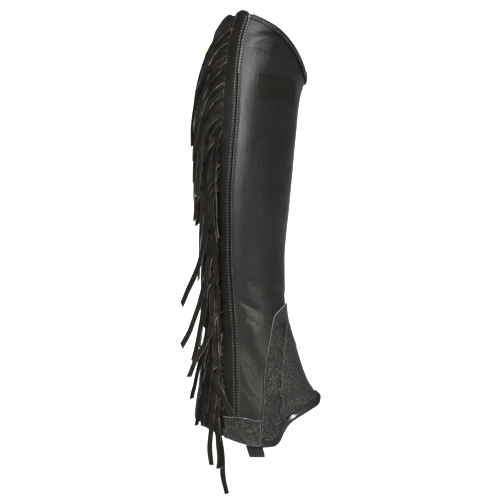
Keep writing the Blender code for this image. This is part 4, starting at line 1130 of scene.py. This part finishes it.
# Studio: a pale floor that curves up into a white wall, and five soft lights
studio = {
    "floor": -0.43, "halfWidth": 3.0, "wallBehind": 4.8, "wallCorner": 0.5, "wallTop": 1.8, "paper": 0.8,
    "glowBack": (0.35, 0.9), "glowAside": (0.8, 1.6), "glow": (0.12, 1.15), "world": 0.14,
    "lights": {              # place, aim, size, watts, colour, spread in degrees
        "keyLight": ((-0.7524, -2.0673, 0.62), (0, 0, -0.1), (0.7, 0.8), 16.0, (1, 0.985, 0.93), 180),
        "topLight": ((0.2, -0.3, 1.9), (0, 0, -0.1), (1.6, 1.6), 26.0, (1, 1, 1), 180),
        "headLight": ((-0.1058, -1.1348, 0.098), (-0.01, -0.04, 0.05), (0.7, 0.15), 0.28,
                      (0.96, 0.99, 1), 26),
        "footLight": ((1.3285, -1.4421, 0.1938), (0.03, 0, -0.29), (0.34, 0.22), 0.145,
                      (1, 0.97, 0.9), 14),
        "fillLight": ((2.4, -0.8, 0.2), (0, 0, -0.1), (1.0, 2.0), 0.8, (0.9, 0.95, 1), 180),
    },
    "camera": (0.0031, -4.0, -0.1236), "frameWidth": 0.5215,
}


def paleSweep(look):             # the glow fades out towards the sides and the front
    made, tree, shader = startMaterial("pale paper", Roughness=0.95, Specular_IOR_Level=0.1)
    place = addNode(tree, "SeparateXYZ", {0: objectPlace(tree)}).outputs
    aside = mapped(tree, reckon(tree, "ABSOLUTE", place[0]), *look["glowAside"], 1.0, 0.0)
    share = reckon(tree, "MULTIPLY", mapped(tree, place[1], *look["glowBack"]), aside)
    low, high = look["glow"]
    tree.links.new(blendColours(tree, share, [low] * 3, [high] * 3), shader.inputs["Emission Color"])
    shader.inputs["Emission Strength"].default_value = 1.0
    shader.inputs["Base Color"].default_value = (*[look["paper"]] * 3, 1)
    start, corner, wide = look["wallBehind"] - look["wallCorner"], look["wallCorner"], look["halfWidth"]
    turns = np.linspace(0, math.pi / 2, 16)
    rows = [(-wide, 0.0)] + [(y, 0.0) for y in np.linspace(0, start, 12)[:-1]]
    rows += [(start + corner * math.sin(t), corner * (1 - math.cos(t))) for t in turns]
    rows.append((look["wallBehind"], look["wallTop"]))
    points = np.array([[(x, y, z + look["floor"]) for x in (-wide, wide)] for y, z in rows])
    faces = [[i, i + 2, i + 3, i + 1] for i in range(0, 2 * len(rows) - 2, 2)]
    newObject("paleSweep", points, faces, made)


def addArea(name, place, aim, size, power, colour, spread):
    data = bpy.data.lights.new(name, "AREA")
    data.spread = math.radians(spread)
    data.shape = "RECTANGLE"
    data.size, data.size_y = size
    data.energy = power
    data.color = colour
    made = bpy.data.objects.new(name, data)
    made.location = place
    made.rotation_euler = (Vector(aim) - Vector(place)).to_track_quat("-Z", "Y").to_euler()
    made.visible_camera = False
    bpy.context.scene.collection.objects.link(made)


def addCamera(look):
    data = bpy.data.cameras.new("camera")
    data.sensor_width = 36.0
    data.lens = -36.0 * look["camera"][1] / look["frameWidth"]
    data.clip_end = 50.0
    made = bpy.data.objects.new("camera", data)
    made.location = look["camera"]
    made.rotation_euler = (math.radians(90), 0, 0)
    bpy.context.scene.collection.objects.link(made)
    bpy.context.scene.camera = made


paleSweep(studio)
for name, light in studio["lights"].items():
    addArea(name, *light)
addCamera(studio)
scene = bpy.context.scene
scene.world = bpy.data.worlds.new("studio air")
scene.world.use_nodes = True
air = scene.world.node_tree.nodes["Background"]
air.inputs["Color"].default_value = (1, 1, 1, 1)
air.inputs["Strength"].default_value = studio["world"]
scene.view_settings.view_transform = "Standard"
scene.view_settings.look = "None"
print("stage 9: studio")
